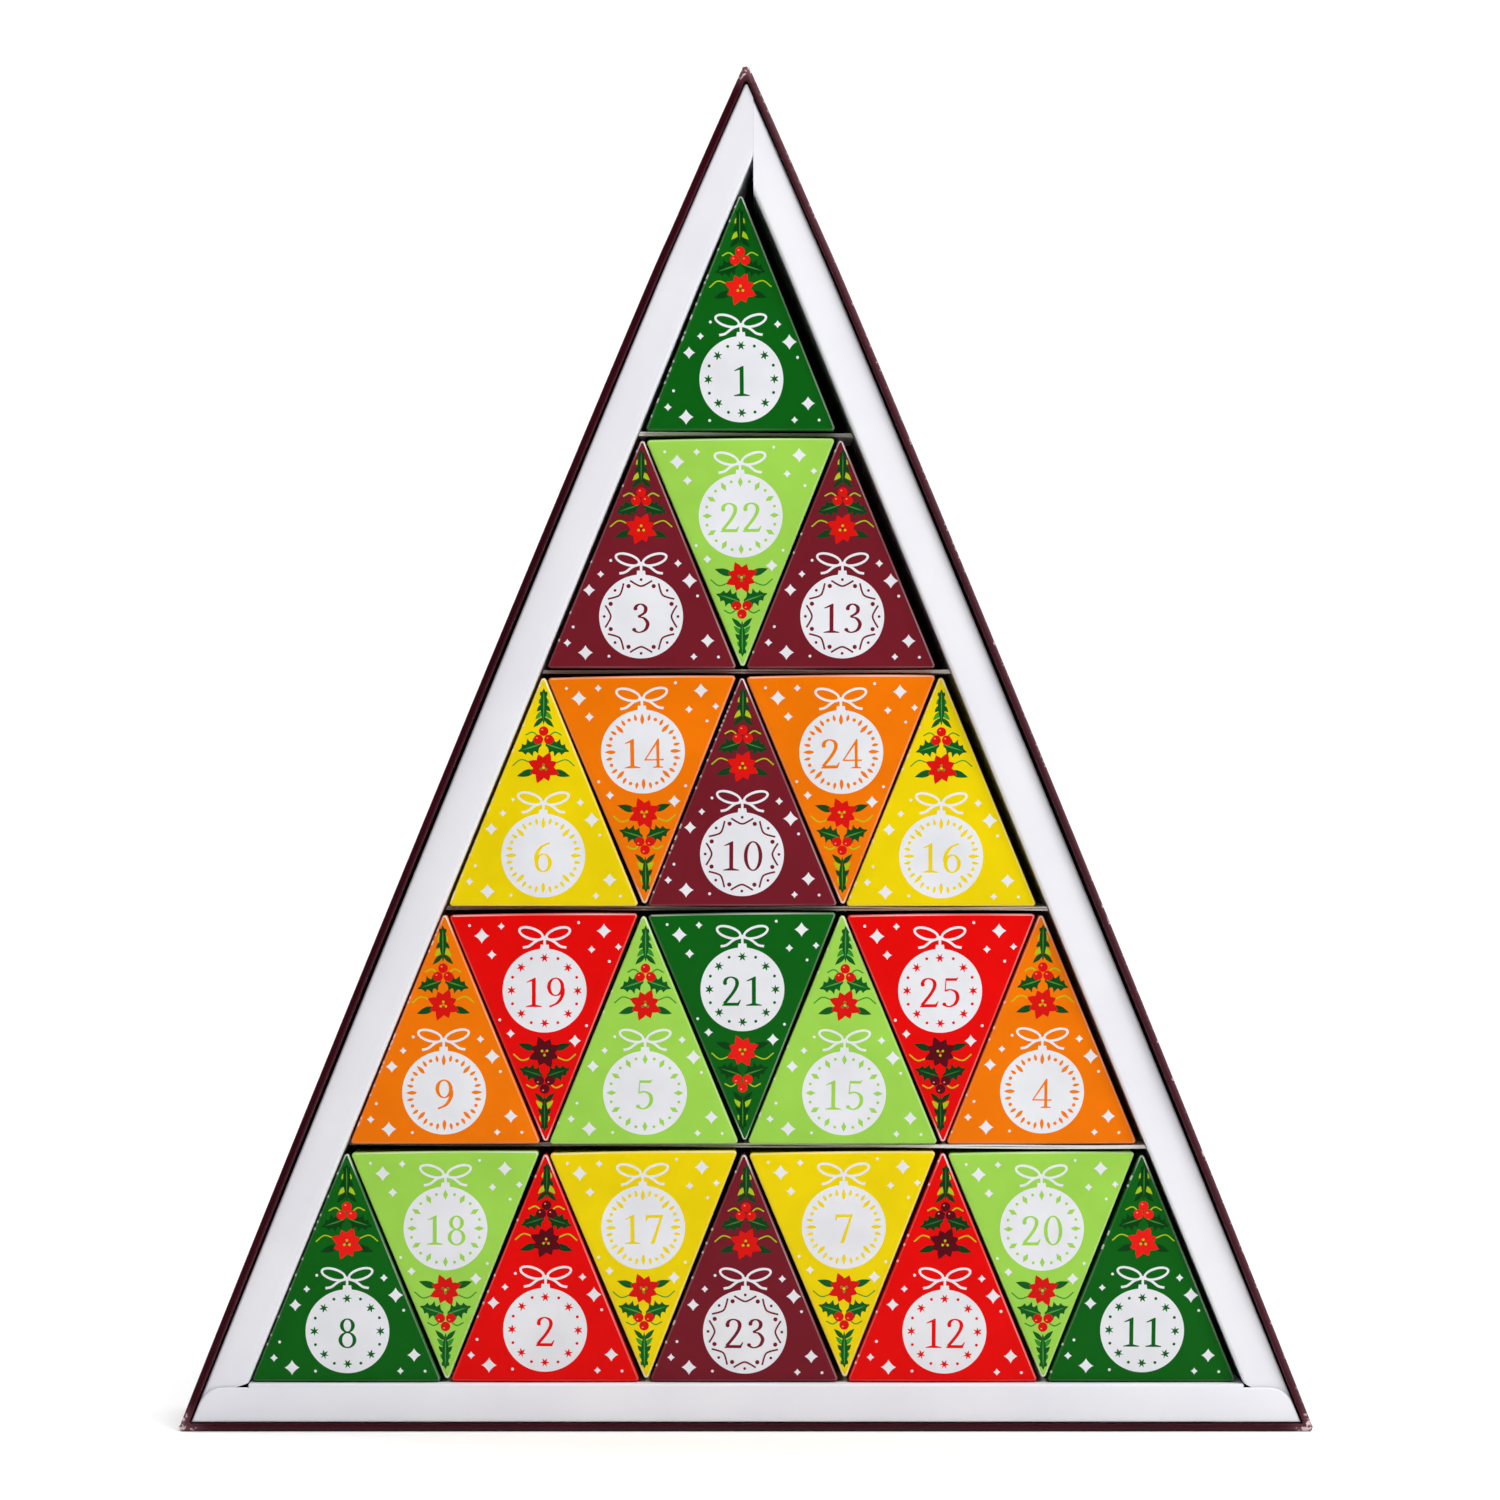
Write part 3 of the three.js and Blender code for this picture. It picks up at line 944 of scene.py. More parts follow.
@dataclass(frozen=True)
class FrontPrint:
    """The print on a carton's door: a bauble with the day's number, hung from a bow, sparkles and holly.

    Sizes are millimetres, measured from the middle of the wide edge towards the tip. The bauble, the bow and
    the number stand upright on every carton, and the holly points to the tip.
    """

    palette: Palette
    number: int
    hanging: bool
    bauble: float = 11.6
    standing_centre: float = 14.1
    hanging_centre: float = 21.3
    numeral: float = 8.1
    numeral_drop: float = 0.5
    flower: float = 38.4
    white: str = "#e8e9ee"
    glint: str = "#f08a70"
    line: float = 0.34  # half of the bow's line

    def spin(
        self, count: int, shape: Callable[[float], list[np.ndarray]], start: float = 0.0
    ) -> list[np.ndarray]:
        """Repeats a shape at even angles round the bauble.

        Args:
            count: how many there are.
            shape: gives its outlines at an angle.
            start: the first one's angle.

        Returns:
            All outlines.
        """
        angles = [start + 2 * math.pi * k / count for k in range(count)]
        return [outline for angle in angles for outline in shape(angle)]

    def polar(self, angle: float, distance: float) -> tuple[float, float]:
        """Gives the point at an angle and a distance from the bauble's centre."""
        return (distance * math.sin(angle), distance * math.cos(angle))

    def rim(self) -> list[Patch]:
        """Draws the ornament inside the bauble's edge, round the point (0, 0).

        Returns:
            Its patches, in the ink of the ground.
        """
        polar = self.polar

        def dots(count: int, distance: float, reach: float, start: float = 0.0) -> list[np.ndarray]:
            """Gives a ring of dots."""
            return self.spin(count, lambda a: [ellipse(*polar(a, distance), reach, reach, steps=12)], start)

        def petals(a: float) -> list[np.ndarray]:
            """Gives a fan of three petals."""
            fans = [(a - 0.2, 8.6, 0.42), (a, 7.5, 0.52), (a + 0.2, 8.6, 0.42)]
            return [blade(polar(t, root), polar(t, 10.6), half) for t, root, half in fans]

        def lozenge(a: float) -> list[np.ndarray]:
            """Gives a lozenge."""
            corners = ((0, 7.9), (-0.075, 9.3), (0, 10.7), (0.075, 9.3))
            return [np.array([polar(a + turn, distance) for turn, distance in corners])]

        def flake(a: float) -> list[np.ndarray]:
            """Gives a flake of three crossed blades.

            Args:
                a: its angle.

            Returns:
                The blades' outlines.
            """
            (x, z), turns = polar(a, 9.1), (a, a + math.pi / 3, a + 2 * math.pi / 3)
            arms = [(1.35 * math.cos(t), 1.35 * math.sin(t)) for t in turns]
            return [blade((x - u, z - v), (x + u, z + v), 0.3, steps=6) for u, v in arms]

        def swag(a: float) -> list[np.ndarray]:
            """Gives a swag."""
            path = [polar(a + t, 10.4 - 2.0 * math.cos(t * 5.2)) for t in (-0.3, -0.15, 0.0, 0.15, 0.3)]
            return [pen(path, 0.25, 0.25)]

        eighth = math.pi / 8
        outlines = {
            Ornament.PETALS: [*self.spin(8, petals), *dots(8, 9.5, 0.5, eighth)],
            Ornament.LOZENGES: [*self.spin(12, lozenge), *dots(12, 9.7, 0.42, math.pi / 12)],
            Ornament.FLAKES: [*self.spin(8, flake), *dots(8, 9.6, 0.42, eighth)],
            Ornament.SWAGS: [*self.spin(8, swag), *dots(8, 9.1, 0.6, eighth), *dots(8, 10.2, 0.4)],
        }
        return [Patch(outline, self.palette.ground) for outline in outlines[self.palette.ornament]]

    def bow(self) -> list[Patch]:
        """Draws the cap, the bow's two loops and its two tails, above the bauble's centre (0, 0).

        Returns:
            The patches, in the order in which they are laid.
        """
        cap, knot, line = self.bauble, self.bauble + 2.9, self.line
        laid = []
        for side in (-1, 1):
            x, z, wide, high, turn = side * 3.75, knot + 1.25, 3.7, 1.75, side * 0.3
            tail = [(0.0, knot), (side * 2.2, knot - 0.7), (side * 4.3, knot - 2.2), (side * 6.0, knot - 2.6)]
            laid.append((ellipse(x, z, wide, high, turn), self.white))
            laid.append((ellipse(x, z, wide - 2 * line, high - 2 * line, turn), self.palette.ground))
            laid.append((pen(tail, line, line), self.white))
        crown = [(-1.3, cap - 0.5), (1.3, cap - 0.5), (1.1, cap + 1.1), (-1.1, cap + 1.1)]
        string = pen([(0, cap + 1), (0, cap + 1.8), (0, knot)], line, line)
        shapes = (np.array(crown), string, ellipse(0, knot, 0.75, 0.62, steps=16))
        laid += [(shape, self.white) for shape in shapes]
        return [Patch(*pair) for pair in laid]

    def holly(self) -> list[Patch]:
        """Draws the flower, the holly leaves, the berries and the fir twig, from the bauble towards the tip.

        Returns:
            The patches, in the order in which they are laid.
        """
        inks, middle = self.palette, self.flower
        laid = []
        for side in (-1, 1):
            curl = [(side * 3.2, middle + 1.2), (side * 6.2, middle + 2.2), (side * 8.6, middle + 0.5)]
            leaf = blade((side * 2.4, middle - 0.8), (side * 7.4, middle - 2.4), 0.95, steps=12)
            laid += [(pen(curl, 0.17, 0.17), inks.needle), (leaf, inks.leaf)]
        for k in range(8):
            x, z = self.polar((k + 0.5) * math.pi / 4, 1.0)
            reach = 4.0 if k % 2 else 4.7
            petal = blade((0.3 * x, middle + 0.3 * z), (reach * x, middle + reach * z), 1.25, steps=10)
            laid.append((petal, inks.berry))
        for a in (0.0, 2.1, 4.2):
            x, z = self.polar(a, 0.8)
            laid.append((ellipse(x, middle + z, 0.36, 0.36, steps=10), inks.needle))
        for side in (-1, 1):
            stalk = (side * 0.5, 45.0)
            curl = [(side * 0.8, 46.4), (side * 3.0, 48.2), (side * 5.0, 47.4)]
            laid.append((blade(stalk, (side * 7.1, 42.9), 2.7, spikes=4), inks.leaf))
            laid.append((blade(stalk, (side * 6.1, 43.2), 0.2, steps=8), inks.vein))
            laid.append((pen(curl, 0.18, 0.18), inks.needle))
        for x, z in ((-1.45, 46.2), (1.45, 46.2), (0.0, 48.5)):
            laid.append((ellipse(x, z, 1.35, 1.35, steps=20), inks.berry))
            laid.append((ellipse(x - 0.4, z + 0.45, 0.27, 0.22, steps=8), self.glint))
        for k in range(5):
            root, reach = 52.3 + 1.75 * k, 4.6 - 0.75 * k
            for side in (-1, 1):
                needle = blade((side * 0.1, root), (side * reach * 0.62, root - reach * 0.6), 0.66, steps=8)
                laid.append((needle, inks.needle if k % 2 else inks.leaf))
        laid.append((blade((0.0, 60.4), (0.0, 50.2), 1.0, steps=12), inks.leaf))
        laid.append((blade((0.0, 59.6), (0.0, 51.0), 0.16, steps=8), inks.vein))
        return [Patch(*pair) for pair in laid]

    def patches(self) -> list[Patch]:
        """Draws the whole print, in millimetres from the wide edge.

        Returns:
            The patches, in the order in which their inks are laid.
        """
        up = -1 if self.hanging else 1
        centre = up * (self.hanging_centre if self.hanging else self.standing_centre)
        inks = (self.palette.ground, self.white)
        number = Numerals().write(self.number, self.numeral_drop, self.numeral, *inks)
        disc = [Patch(ellipse(0, 0, self.bauble, self.bauble, steps=96), self.white), *self.rim(), *number]
        upright = [Patch(p.outline + (0, centre), p.ink) for p in [*self.bow(), *disc]]
        sparkles = SPARKLES_HANGING if self.hanging else SPARKLES_STANDING
        dots = DOTS_HANGING if self.hanging else DOTS_STANDING
        snow = [Patch(sparkle(x, up * z, reach), self.white) for x, z, reach in sparkles]
        snow += [Patch(ellipse(x, up * z, 0.4, 0.4, steps=12), self.white) for x, z in dots]
        turned = [Patch(p.outline * (1, up), p.ink) for p in self.holly()]
        return [*turned, *snow, *upright]


# Cartons


@dataclass(frozen=True)
class TeaBag:
    """A pyramid tea bag: a tube of woven mesh sealed along two seams square to each other.

    At the share t of its height the section is a superellipse with the half widths (1 - t) length / 2 and
    t length / 2, filled out by belly sin(pi t). The crimped seams run on for a short flat strip.
    """

    length: float = 33 * MM  # of each seam
    height: float = 26 * MM
    belly: float = 2.2 * MM
    crimp: float = 2.0 * MM
    thick: float = 0.25 * MM  # half of a crimped seam's thickness
    standing_foot: float = 3.4 * MM  # from a standing carton's wide edge
    hanging_foot: float = 18.5 * MM  # from a hanging carton's tip
    back_shift: float = 0.5 * MM  # how far behind the carton's middle it lies
    roundness: float = 0.8  # power of the cosine and the sine in a section, 1 for an ellipse

    def build(self, carton: Carton, finishes: Finishes) -> None:
        """Makes the tea bag, with its leaf's height and its distance round the bag as attributes.

        Args:
            carton: the carton that holds it.
            finishes: the materials.
        """
        # shares below 0 and above 1 are the crimped strips
        t = np.concatenate([[-0.08, -0.001], np.linspace(0.03, 0.97, 13), [1.001, 1.08]])
        a = np.linspace(0, 2 * math.pi, 28, endpoint=False)
        c, s = np.cos(a), np.sin(a)
        share = np.clip(t, 0, 1)[:, None]
        full = self.belly * np.sin(math.pi * share) + self.thick
        wide, deep = (1 - share) * self.length / 2 + full, share * self.length / 2 + full
        if carton.hanging:
            wide, deep = deep, wide
        x = np.sign(c) * abs(c) ** self.roundness * wide
        y = np.sign(s) * abs(s) ** self.roundness * deep
        crimps = np.where(t < 0, -self.crimp, np.where(t > 1, self.crimp, 0))[:, None]
        z = np.broadcast_to(share * self.height + crimps, x.shape)
        wedge = carton.wedge
        foot = wedge.z - wedge.height + self.hanging_foot if carton.hanging else wedge.z + self.standing_foot
        level = (carton.face + carton.back) / 2 + self.back_shift
        rings = np.stack([wedge.x + x, level + y, foot + z], -1)
        work = Sheetwork()
        work.capsule(rings, rings[0].mean(0), rings[-1].mean(0))
        fill = np.concatenate([np.repeat(1 - share[:, 0], len(a)), [1.0, 0.0]])
        around = np.concatenate([np.abs(rings[..., 0] - wedge.x + rings[..., 1] - level).ravel(), [0.0, 0.0]])
        shares = {"fill": fill, "around": around}
        name, body = f"tea_bag_{carton.label}", f"carton_{carton.label}"
        work.make(name, body, "tea_bag_mesh", [finishes.tea_mesh], shares=shares)


@dataclass
class Carton:
    """One carton: its tear-open door, the shell behind it and the tea bag inside.

    Attributes:
        number: the day that it is for.
        slot: the record's material slot of its ink.
        wedge: its plan.
        face: level of the door's face.
        door_back: level of the door's back.
        back: level of the shell's back.
    """

    number: int
    slot: str
    wedge: Wedge
    face: float
    door_back: float
    back: float
    card: float = 0.5 * MM
    corner: float = 0.8 * MM
    least_corner: float = 0.15 * MM
    crease: float = 0.5 * MM
    seam: float = 0.02 * MM  # between the door's back and the shell
    lip: float = 2 * MM
    bulge: float = 0.6 * MM
    edge_bow: float = 0.28 * MM  # how far a hanging carton's wide edge bows upwards
    edge_reach: float = 6 * MM
    edge_span: float = 0.82  # half of the bowed length, as a share of half the height
    pivot: float = 0.42  # share of the height, from the wide edge, at which the tilt turns the carton
    soft_depth: float = 0.3 * MM  # how far a hanging carton's wide crease is rolled back
    soft_reach: float = 2.2 * MM
    free_tip: float = 1.8 * MM  # how far the first carton's tip, with nothing above it, stands up
    side_swell: float = 0.25 * MM  # how far the shell's walls swell outwards between its front and its back
    door_loop: tuple[int, int] = (5, 96)  # segments in each rounded corner and along each side
    shell_loop: tuple[int, int] = (4, 14)
    fold_row: float = 0.8 * MM  # from the face's edge to its first row of inner points
    grid: float = 3.2 * MM  # between the face's inner points
    back_rings: tuple[float, ...] = (0.12 * MM, 5 * MM, 11 * MM)  # insets of the rings on the door's back
    base_rings: tuple[float, ...] = (12 * MM, 5 * MM, 0.5 * MM)  # insets of the rings on the shell's back
    base_bevel: float = 0.14 * MM  # how far in and how far up the ring in the middle of its rounded edge is
    base_round: float = 0.5 * MM  # how far up the rounding of the shell's back ends
    swell_at: tuple[float, ...] = (0.12, 0.35, 0.65, 0.9)  # shares from back to front that have a ring
    hair: float = 0.01 * MM  # what keeps two rings apart where the surface turns sharply
    crease_wear: tuple[float, float, float] = (0.08, 0.3, 0.1)  # bare board and painted highlight on wide, right and left creases, more where the light falls
    # on a hanging carton the wide crease on top takes the most painted highlight, and the side lying on the
    # right more than the other
    crease_wear_hanging: tuple[float, float, float] = (0.55, 0.1, 0.24)
    tip_wear: float = 0.85  # more of it at the tip
    tip_reach: float = 4.5 * MM

    def __post_init__(self) -> None:
        """Draws how this carton and its print differ from the next one's, the same each run."""
        draw = np.random.default_rng(self.number)
        self.palette = PALETTES[Ink(self.slot)]
        self.hanging = self.wedge.up < 0
        self.tilt = math.radians(draw.uniform(0.35, 0.8) if self.hanging else draw.uniform(-0.15, 0.15))
        self.print_shift = draw.uniform(-0.4, 0.4, 2) * MM
        self.print_turn = math.radians(draw.uniform(-0.7, 0.7))
        self.lean = draw.uniform(-0.3, 0.3, 2) * MM
        self.stretch = 1 + (self.free_tip / self.wedge.height if self.number == 1 else 0)
        self.spring = draw.uniform(0.02, 0.28) * MM  # how far the folded sloping sides spring outwards
        self.sink = draw.uniform(0.15, 0.55) * MM if self.hanging else 0.0  # how far the wide edge has sunk
        self.torn = draw.uniform(0.05, 0.24)  # share of the torn edge where the board shows
        self.wear_phase = draw.uniform(0, 2 * math.pi, 3)
        self.label = f"{self.number:02d}"

    @classmethod
    def from_frame(cls, number: int, slot: str, hanging: bool) -> Carton:
        """Takes a carton's place and size from the boxes of its CAD nodes.

        Args:
            number: the day that it is for.
            slot: the record's material slot of its ink.
            hanging: whether its tip points down.

        Returns:
            The carton.
        """
        low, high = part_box(f"door_{number:02d}")
        height = wedge_round(high.z - low.z, cls.corner)
        wedge = Wedge((low.x + high.x) / 2, high.z if hanging else low.z, height, -1 if hanging else 1)
        return cls(number, slot, wedge, low.y, high.y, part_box(f"carton_{number:02d}")[1].y)

    def settle(self, points: np.ndarray) -> np.ndarray:
        """Stretches points of the model upwards and turns them by the carton's tilt, about its pivot.

        Args:
            points: of the upright carton.

        Returns:
            The points of the tilted one.
        """
        x, z = self.wedge.x, self.wedge.z + self.wedge.up * self.pivot * self.wedge.height
        c, s = math.cos(self.tilt), math.sin(self.tilt)
        dx, dz = points[..., 0] - x, (points[..., 2] - self.wedge.z) * self.stretch + self.wedge.z - z
        return np.stack([x + dx * c - dz * s, points[..., 1], z + dx * s + dz * c], -1)

    def bow(self, points: np.ndarray) -> np.ndarray:
        """Bends the door's sheet: it swells towards the viewer in its middle and leans a little.

        It comes forward by bulge (1 - (distance from the middle / half of the height)^2), and by the lean's
        share of each direction. The wide edge of a hanging carton bows outwards in the plan as well.

        Args:
            points: of the flat sheet, a row for each.

        Returns:
            The points of the bent sheet.
        """
        x, z = self.wedge.incentre()
        u, v = (points[:, 0] - x) / (self.wedge.height / 2), (points[:, 2] - z) / (self.wedge.height / 2)
        moved = points.copy()
        moved[:, 1] -= self.bulge * np.clip(1 - u**2 - v**2, 0, 1) + self.lean[0] * u + self.lean[1] * v
        if self.hanging:
            near = np.clip(1 - (self.wedge.z - points[:, 2]) / self.edge_reach, 0, 1)
            moved[:, 2] += self.edge_bow * near * np.clip(1 - (u / self.edge_span) ** 2, 0, 1)
        return moved

    def rolled(self, plan: np.ndarray) -> np.ndarray:
        """Gives how far back a face lies, soft_depth (1 - d / soft_reach)^2 at d from a hanging wide edge."""
        near = np.clip(1 - (self.wedge.z - plan[:, 1]) / self.soft_reach, 0, 1)
        return self.soft_depth * near**2 * self.hanging

    def printed_patches(self) -> list[Patch]:
        """Lays the print out on the door, as far out of register as this carton's is.

        Returns:
            Its patches in plan metres.
        """
        c, s = math.cos(self.print_turn), math.sin(self.print_turn)
        origin = np.array([self.wedge.x, self.wedge.z]) + self.print_shift
        turn = np.array([[c, s], [-s, c]]) * MM
        design = FrontPrint(self.palette, self.number, self.hanging)
        return [Patch(p.outline @ turn + origin, p.ink) for p in design.patches()]

    def loop(self, inset: float, segments: tuple[int, int], lips: float = 0.0) -> np.ndarray:
        """Lays the carton's outline, moved inwards.

        Args:
            inset: how far all sides move.
            segments: in each rounded corner and along each side.
            lips: how much further the sides that have a lip move.

        Returns:
            Plan points, anticlockwise from the first corner.
        """
        deep = inset + lips
        base, right = (inset, deep) if self.hanging else (deep, inset)
        corners = self.wedge.corners(-base - self.sink, self.spring - right, self.spring - deep)
        return rounded_loop(corners, max(self.corner - inset, self.least_corner), *segments)

    def face_mesh(self, work: Sheetwork) -> np.ndarray:
        """Adds the door's printed face.

        Its triangles follow the outline of every patch of ink, and each takes the colour of the last patch
        laid over its middle.

        Args:
            work: the door's sheetwork.

        Returns:
            The numbers of the points on the face's edge.
        """
        edge = self.loop(self.crease, self.door_loop)
        patches = self.printed_patches()
        outlines = [patch.outline for patch in patches]
        starts = np.cumsum([0] + [len(o) for o in outlines[:-1]])
        rounds = [np.arange(len(o)) for o in outlines]
        edges = [np.stack([k, np.roll(k, -1)], 1) + start for k, start in zip(rounds, starts)]
        low, high = edge.min(0), edge.max(0)
        across, along = (np.arange(low[k] + self.grid / 2, high[k], self.grid) for k in (0, 1))
        grid = np.stack(np.meshgrid(across, along), -1).reshape(-1, 2)
        grid = grid[is_inside(self.loop(self.crease + self.grid / 3, (1, 1)), grid)]
        fold = self.loop(self.crease + self.fold_row, (1, 30))
        plan, triangles = triangulate(edge, np.concatenate([*outlines, grid, fold]), np.concatenate(edges))
        middles = plan[triangles].mean(1)
        tints = np.tile(linear(self.palette.ground), (len(triangles), 1))
        for patch in patches:
            box_low, box_high = patch.outline.min(0), patch.outline.max(0)
            near = np.flatnonzero(((middles >= box_low) & (middles <= box_high)).all(1))
            tints[near[is_inside(patch.outline, middles[near])]] = linear(patch.ink)
        numbers = work.add(at_level(plan, self.face + self.rolled(plan)))
        work.skin(numbers[triangles], tints)
        return numbers[: len(edge)]

    def crease_tints(self, count: int) -> list[np.ndarray]:
        """Works out the colours of the bands round the door's edge.

        The fold's top turns towards the pale board by its side's share, times 0.7 + 0.3 sin(9 along + phase),
        a painted highlight with some wear, most on the creases that face the light, and by tip_wear
        exp(-(d / tip_reach)^2) at the distance d from the tip, where it is rubbed. The two bands beyond it
        are darkened to 0.9 of the ink, painted shade where the crease turns away, with a third as much board
        as the top. Single segments of the left edge, torn from its perforation, show the board.

        Args:
            count: segments round the door.

        Returns:
            The linear colours of the three bands, from the face outwards.
        """
        index = np.arange(count)
        side, along = index // (count // 3), (index % (count // 3)) / (count // 3)
        shares = np.array(self.crease_wear_hanging if self.hanging else self.crease_wear)[side]
        # rubbed: wear and a painted highlight, most on the creases that face the light
        rubbed = shares * (0.7 + 0.3 * np.sin(9 * along + self.wear_phase[side]))
        from_tip = np.choose(side, [1.0, 1 - along, along]) * self.wedge.height / (self.tip_reach * COS)
        rubbed = np.clip(rubbed + self.tip_wear * np.exp(-(from_tip**2)), 0, 1)[:, None]
        ground, board = np.array(linear(self.palette.ground)), np.array(linear(TORN_AND_HIGHLIGHT_WHITE))
        # the crease's top lightened by it: painted highlight and wear
        top = ground * (1 - rubbed) + board * rubbed
        # the outer bands darkened to 0.9 of the ink: painted shade where the crease turns away
        shaded_flank = ground * (0.9 - rubbed / 3) + board * rubbed / 3
        shaded_flank[:, 3] = 1
        bare = np.random.default_rng(self.number).random(count) < self.torn
        bare = bare & (side == 2) & (not self.hanging)
        shaded_flank[bare] = ground * 0.2 + board * 0.8
        top[bare] = ground * 0.6 + board * 0.4
        return [top, shaded_flank, shaded_flank]

    def finish_piece(self, work: Sheetwork, node: str, kind: str, finishes: Finishes) -> None:
        """Turns a piece by the carton's tilt and makes it.

        Args:
            work: its sheetwork.
            node: what its CAD node's name starts with.
            kind: what its own name ends with.
            finishes: the materials.
        """
        work.points = [self.settle(block) for block in work.points]
        name = f"{node}_{self.label}"
        work.make(f"{name}_{kind}", name, self.slot, [finishes.printed, finishes.raw], name)

    def door(self, finishes: Finishes) -> None:
        """Makes the door: a printed face, rounded creases, cut edges and a raw board back.

        The rings of its edge follow a quarter circle of the crease's radius r: inset r (1 - sin a) and depth
        r (1 - cos a).

        Args:
            finishes: the materials.
        """
        work = Sheetwork()
        edge = self.face_mesh(work)
        r, thick = self.crease, self.door_back - self.face
        steps = [(r * (1 - math.sin(a)), r * (1 - math.cos(a))) for a in np.radians([30, 60, 90])]
        rings = [edge]
        for inset, depth in [*steps, *((inset, thick) for inset in self.back_rings)]:
            plan = self.loop(inset, self.door_loop)
            rolled = self.rolled(plan) * max(0.0, 1 - depth / r)
            rings.append(work.add(at_level(plan, self.face + depth + rolled)))
        for k, tint in enumerate(self.crease_tints(len(edge))):
            work.skin(bridge(np.stack(rings[k : k + 2])), tint)
        work.skin(bridge(np.stack(rings[3:])), finish=1)
        pole = work.add(at_level(self.wedge.incentre()[None], self.door_back))
        work.skin(fan(rings[-1], pole[0], False), finish=1)
        work.points = [self.bow(block) for block in work.points]
        self.finish_piece(work, "door", "panel", finishes)

    def shell(self, finishes: Finishes) -> None:
        """Makes the shell: printed outside, raw board inside, with lips behind the door's torn edges.

        Its walls swell by side_swell sin(pi t) at the share t from the back to the front.

        Args:
            finishes: the materials.
        """
        work = Sheetwork()
        front, card, back, loop = self.door_back + self.seam, self.card, self.back, self.loop
        outside = [(inset, back) for inset in self.base_rings]
        outside += [(self.base_bevel, back - self.base_bevel), (0, back - self.base_round)]
        for t in self.swell_at:
            outside.append((self.side_swell * math.sin(math.pi * t), back + (front - back) * t))
        outside += [(0, front + 0.2 * MM), (0.1 * MM, front)]
        lips = [(card + self.hair, front), (card + self.hair, front + card)]
        inside = [(card, front + card + 2 * self.hair), (card, back - card), (6 * MM, back - card)]
        stages = ((outside, 0.0), (lips, self.lip), (inside, 0.0))
        rings = [at_level(loop(i, self.shell_loop, deeper), y) for rows, deeper in stages for i, y in rows]
        numbers = work.add(np.stack(rings))
        middles = np.repeat(self.wedge.incentre()[None], 2, 0)
        poles = work.add(at_level(middles, np.array([back, back - card])))
        printed = len(outside) + 1
        work.skin(fan(numbers[0], poles[0], True), self.palette.ground)
        work.skin(bridge(numbers[:printed]), self.palette.ground)
        work.skin(bridge(numbers[printed - 1 :]), finish=1)
        work.skin(fan(numbers[-1], poles[1], False), finish=1)
        self.finish_piece(work, "carton", "shell", finishes)

    def build(self, finishes: Finishes) -> None:
        """Makes the carton's three pieces.

        Args:
            finishes: the materials.
        """
        self.door(finishes)
        self.shell(finishes)
        TeaBag().build(self, finishes)


# Frame, shelves and tray


@dataclass(frozen=True)
class Strain:
    """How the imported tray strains: its sloping walls belly out and its tip is pinched.

    Attributes:
        belly: how far a wall comes out where it does most.
        reach: the height up to which it does.
        pinch: how far the tip comes down.
        pinch_from: the height above which the tray is pinched.
        tip: the height of the full tip.
    """

    belly: float = 1.3 * MM
    reach: float = 333 * MM
    pinch: float = 3.8 * MM
    pinch_from: float = 318 * MM
    tip: float = 380.4 * MM

    def apply(self, x: np.ndarray, z: np.ndarray, share: np.ndarray | float) -> tuple[np.ndarray, np.ndarray]:
        """Strains plan points.

        x goes outwards by belly sin(pi z / reach)^0.7, and z down by pinch ((z - from) / (tip - from))^1.5.

        Args:
            x: across.
            z: heights.
            share: how much of the belly each point takes.

        Returns:
            The strained x and z.
        """
        swell = np.sin(math.pi * np.clip(z / self.reach, 0, 1)) ** 0.7
        drop = np.clip((z - self.pinch_from) / (self.tip - self.pinch_from), 0, 1.1) ** 1.5
        return x + np.sign(x) * self.belly * swell * share, z - self.pinch * drop


@dataclass(frozen=True)
class Nest:
    """The space that holds the cartons: its plan and the levels of what lines it.

    Attributes:
        plan: the nest's wedge, whose sides are the frame's folds.
        seat: level of the tray's floor, less the seat gap.
        deck: level of the side decks.
        lap: level of the bottom deck.
    """

    plan: Wedge
    seat: float
    deck: float
    lap: float
    width: float = 10.4 * MM  # of a deck
    card: float = 0.6 * MM
    gap: float = 0.3 * MM  # what the shelves and the bottom strip's wall keep from the side strips

    def side_x(self, side: int, offset: np.ndarray, z: np.ndarray | float) -> np.ndarray:
        """Gives x on a side moved outwards: cos |x| + sin z = sin height + offset, z from the wide edge."""
        return side * (SIN * (self.plan.height - z) + offset) / COS

    def side_z(self, side: int, offset: np.ndarray, x: float) -> np.ndarray:
        """Gives the height above the wide edge at which a side line moved outwards passes x."""
        return self.plan.height + (offset - COS * side * x) / SIN


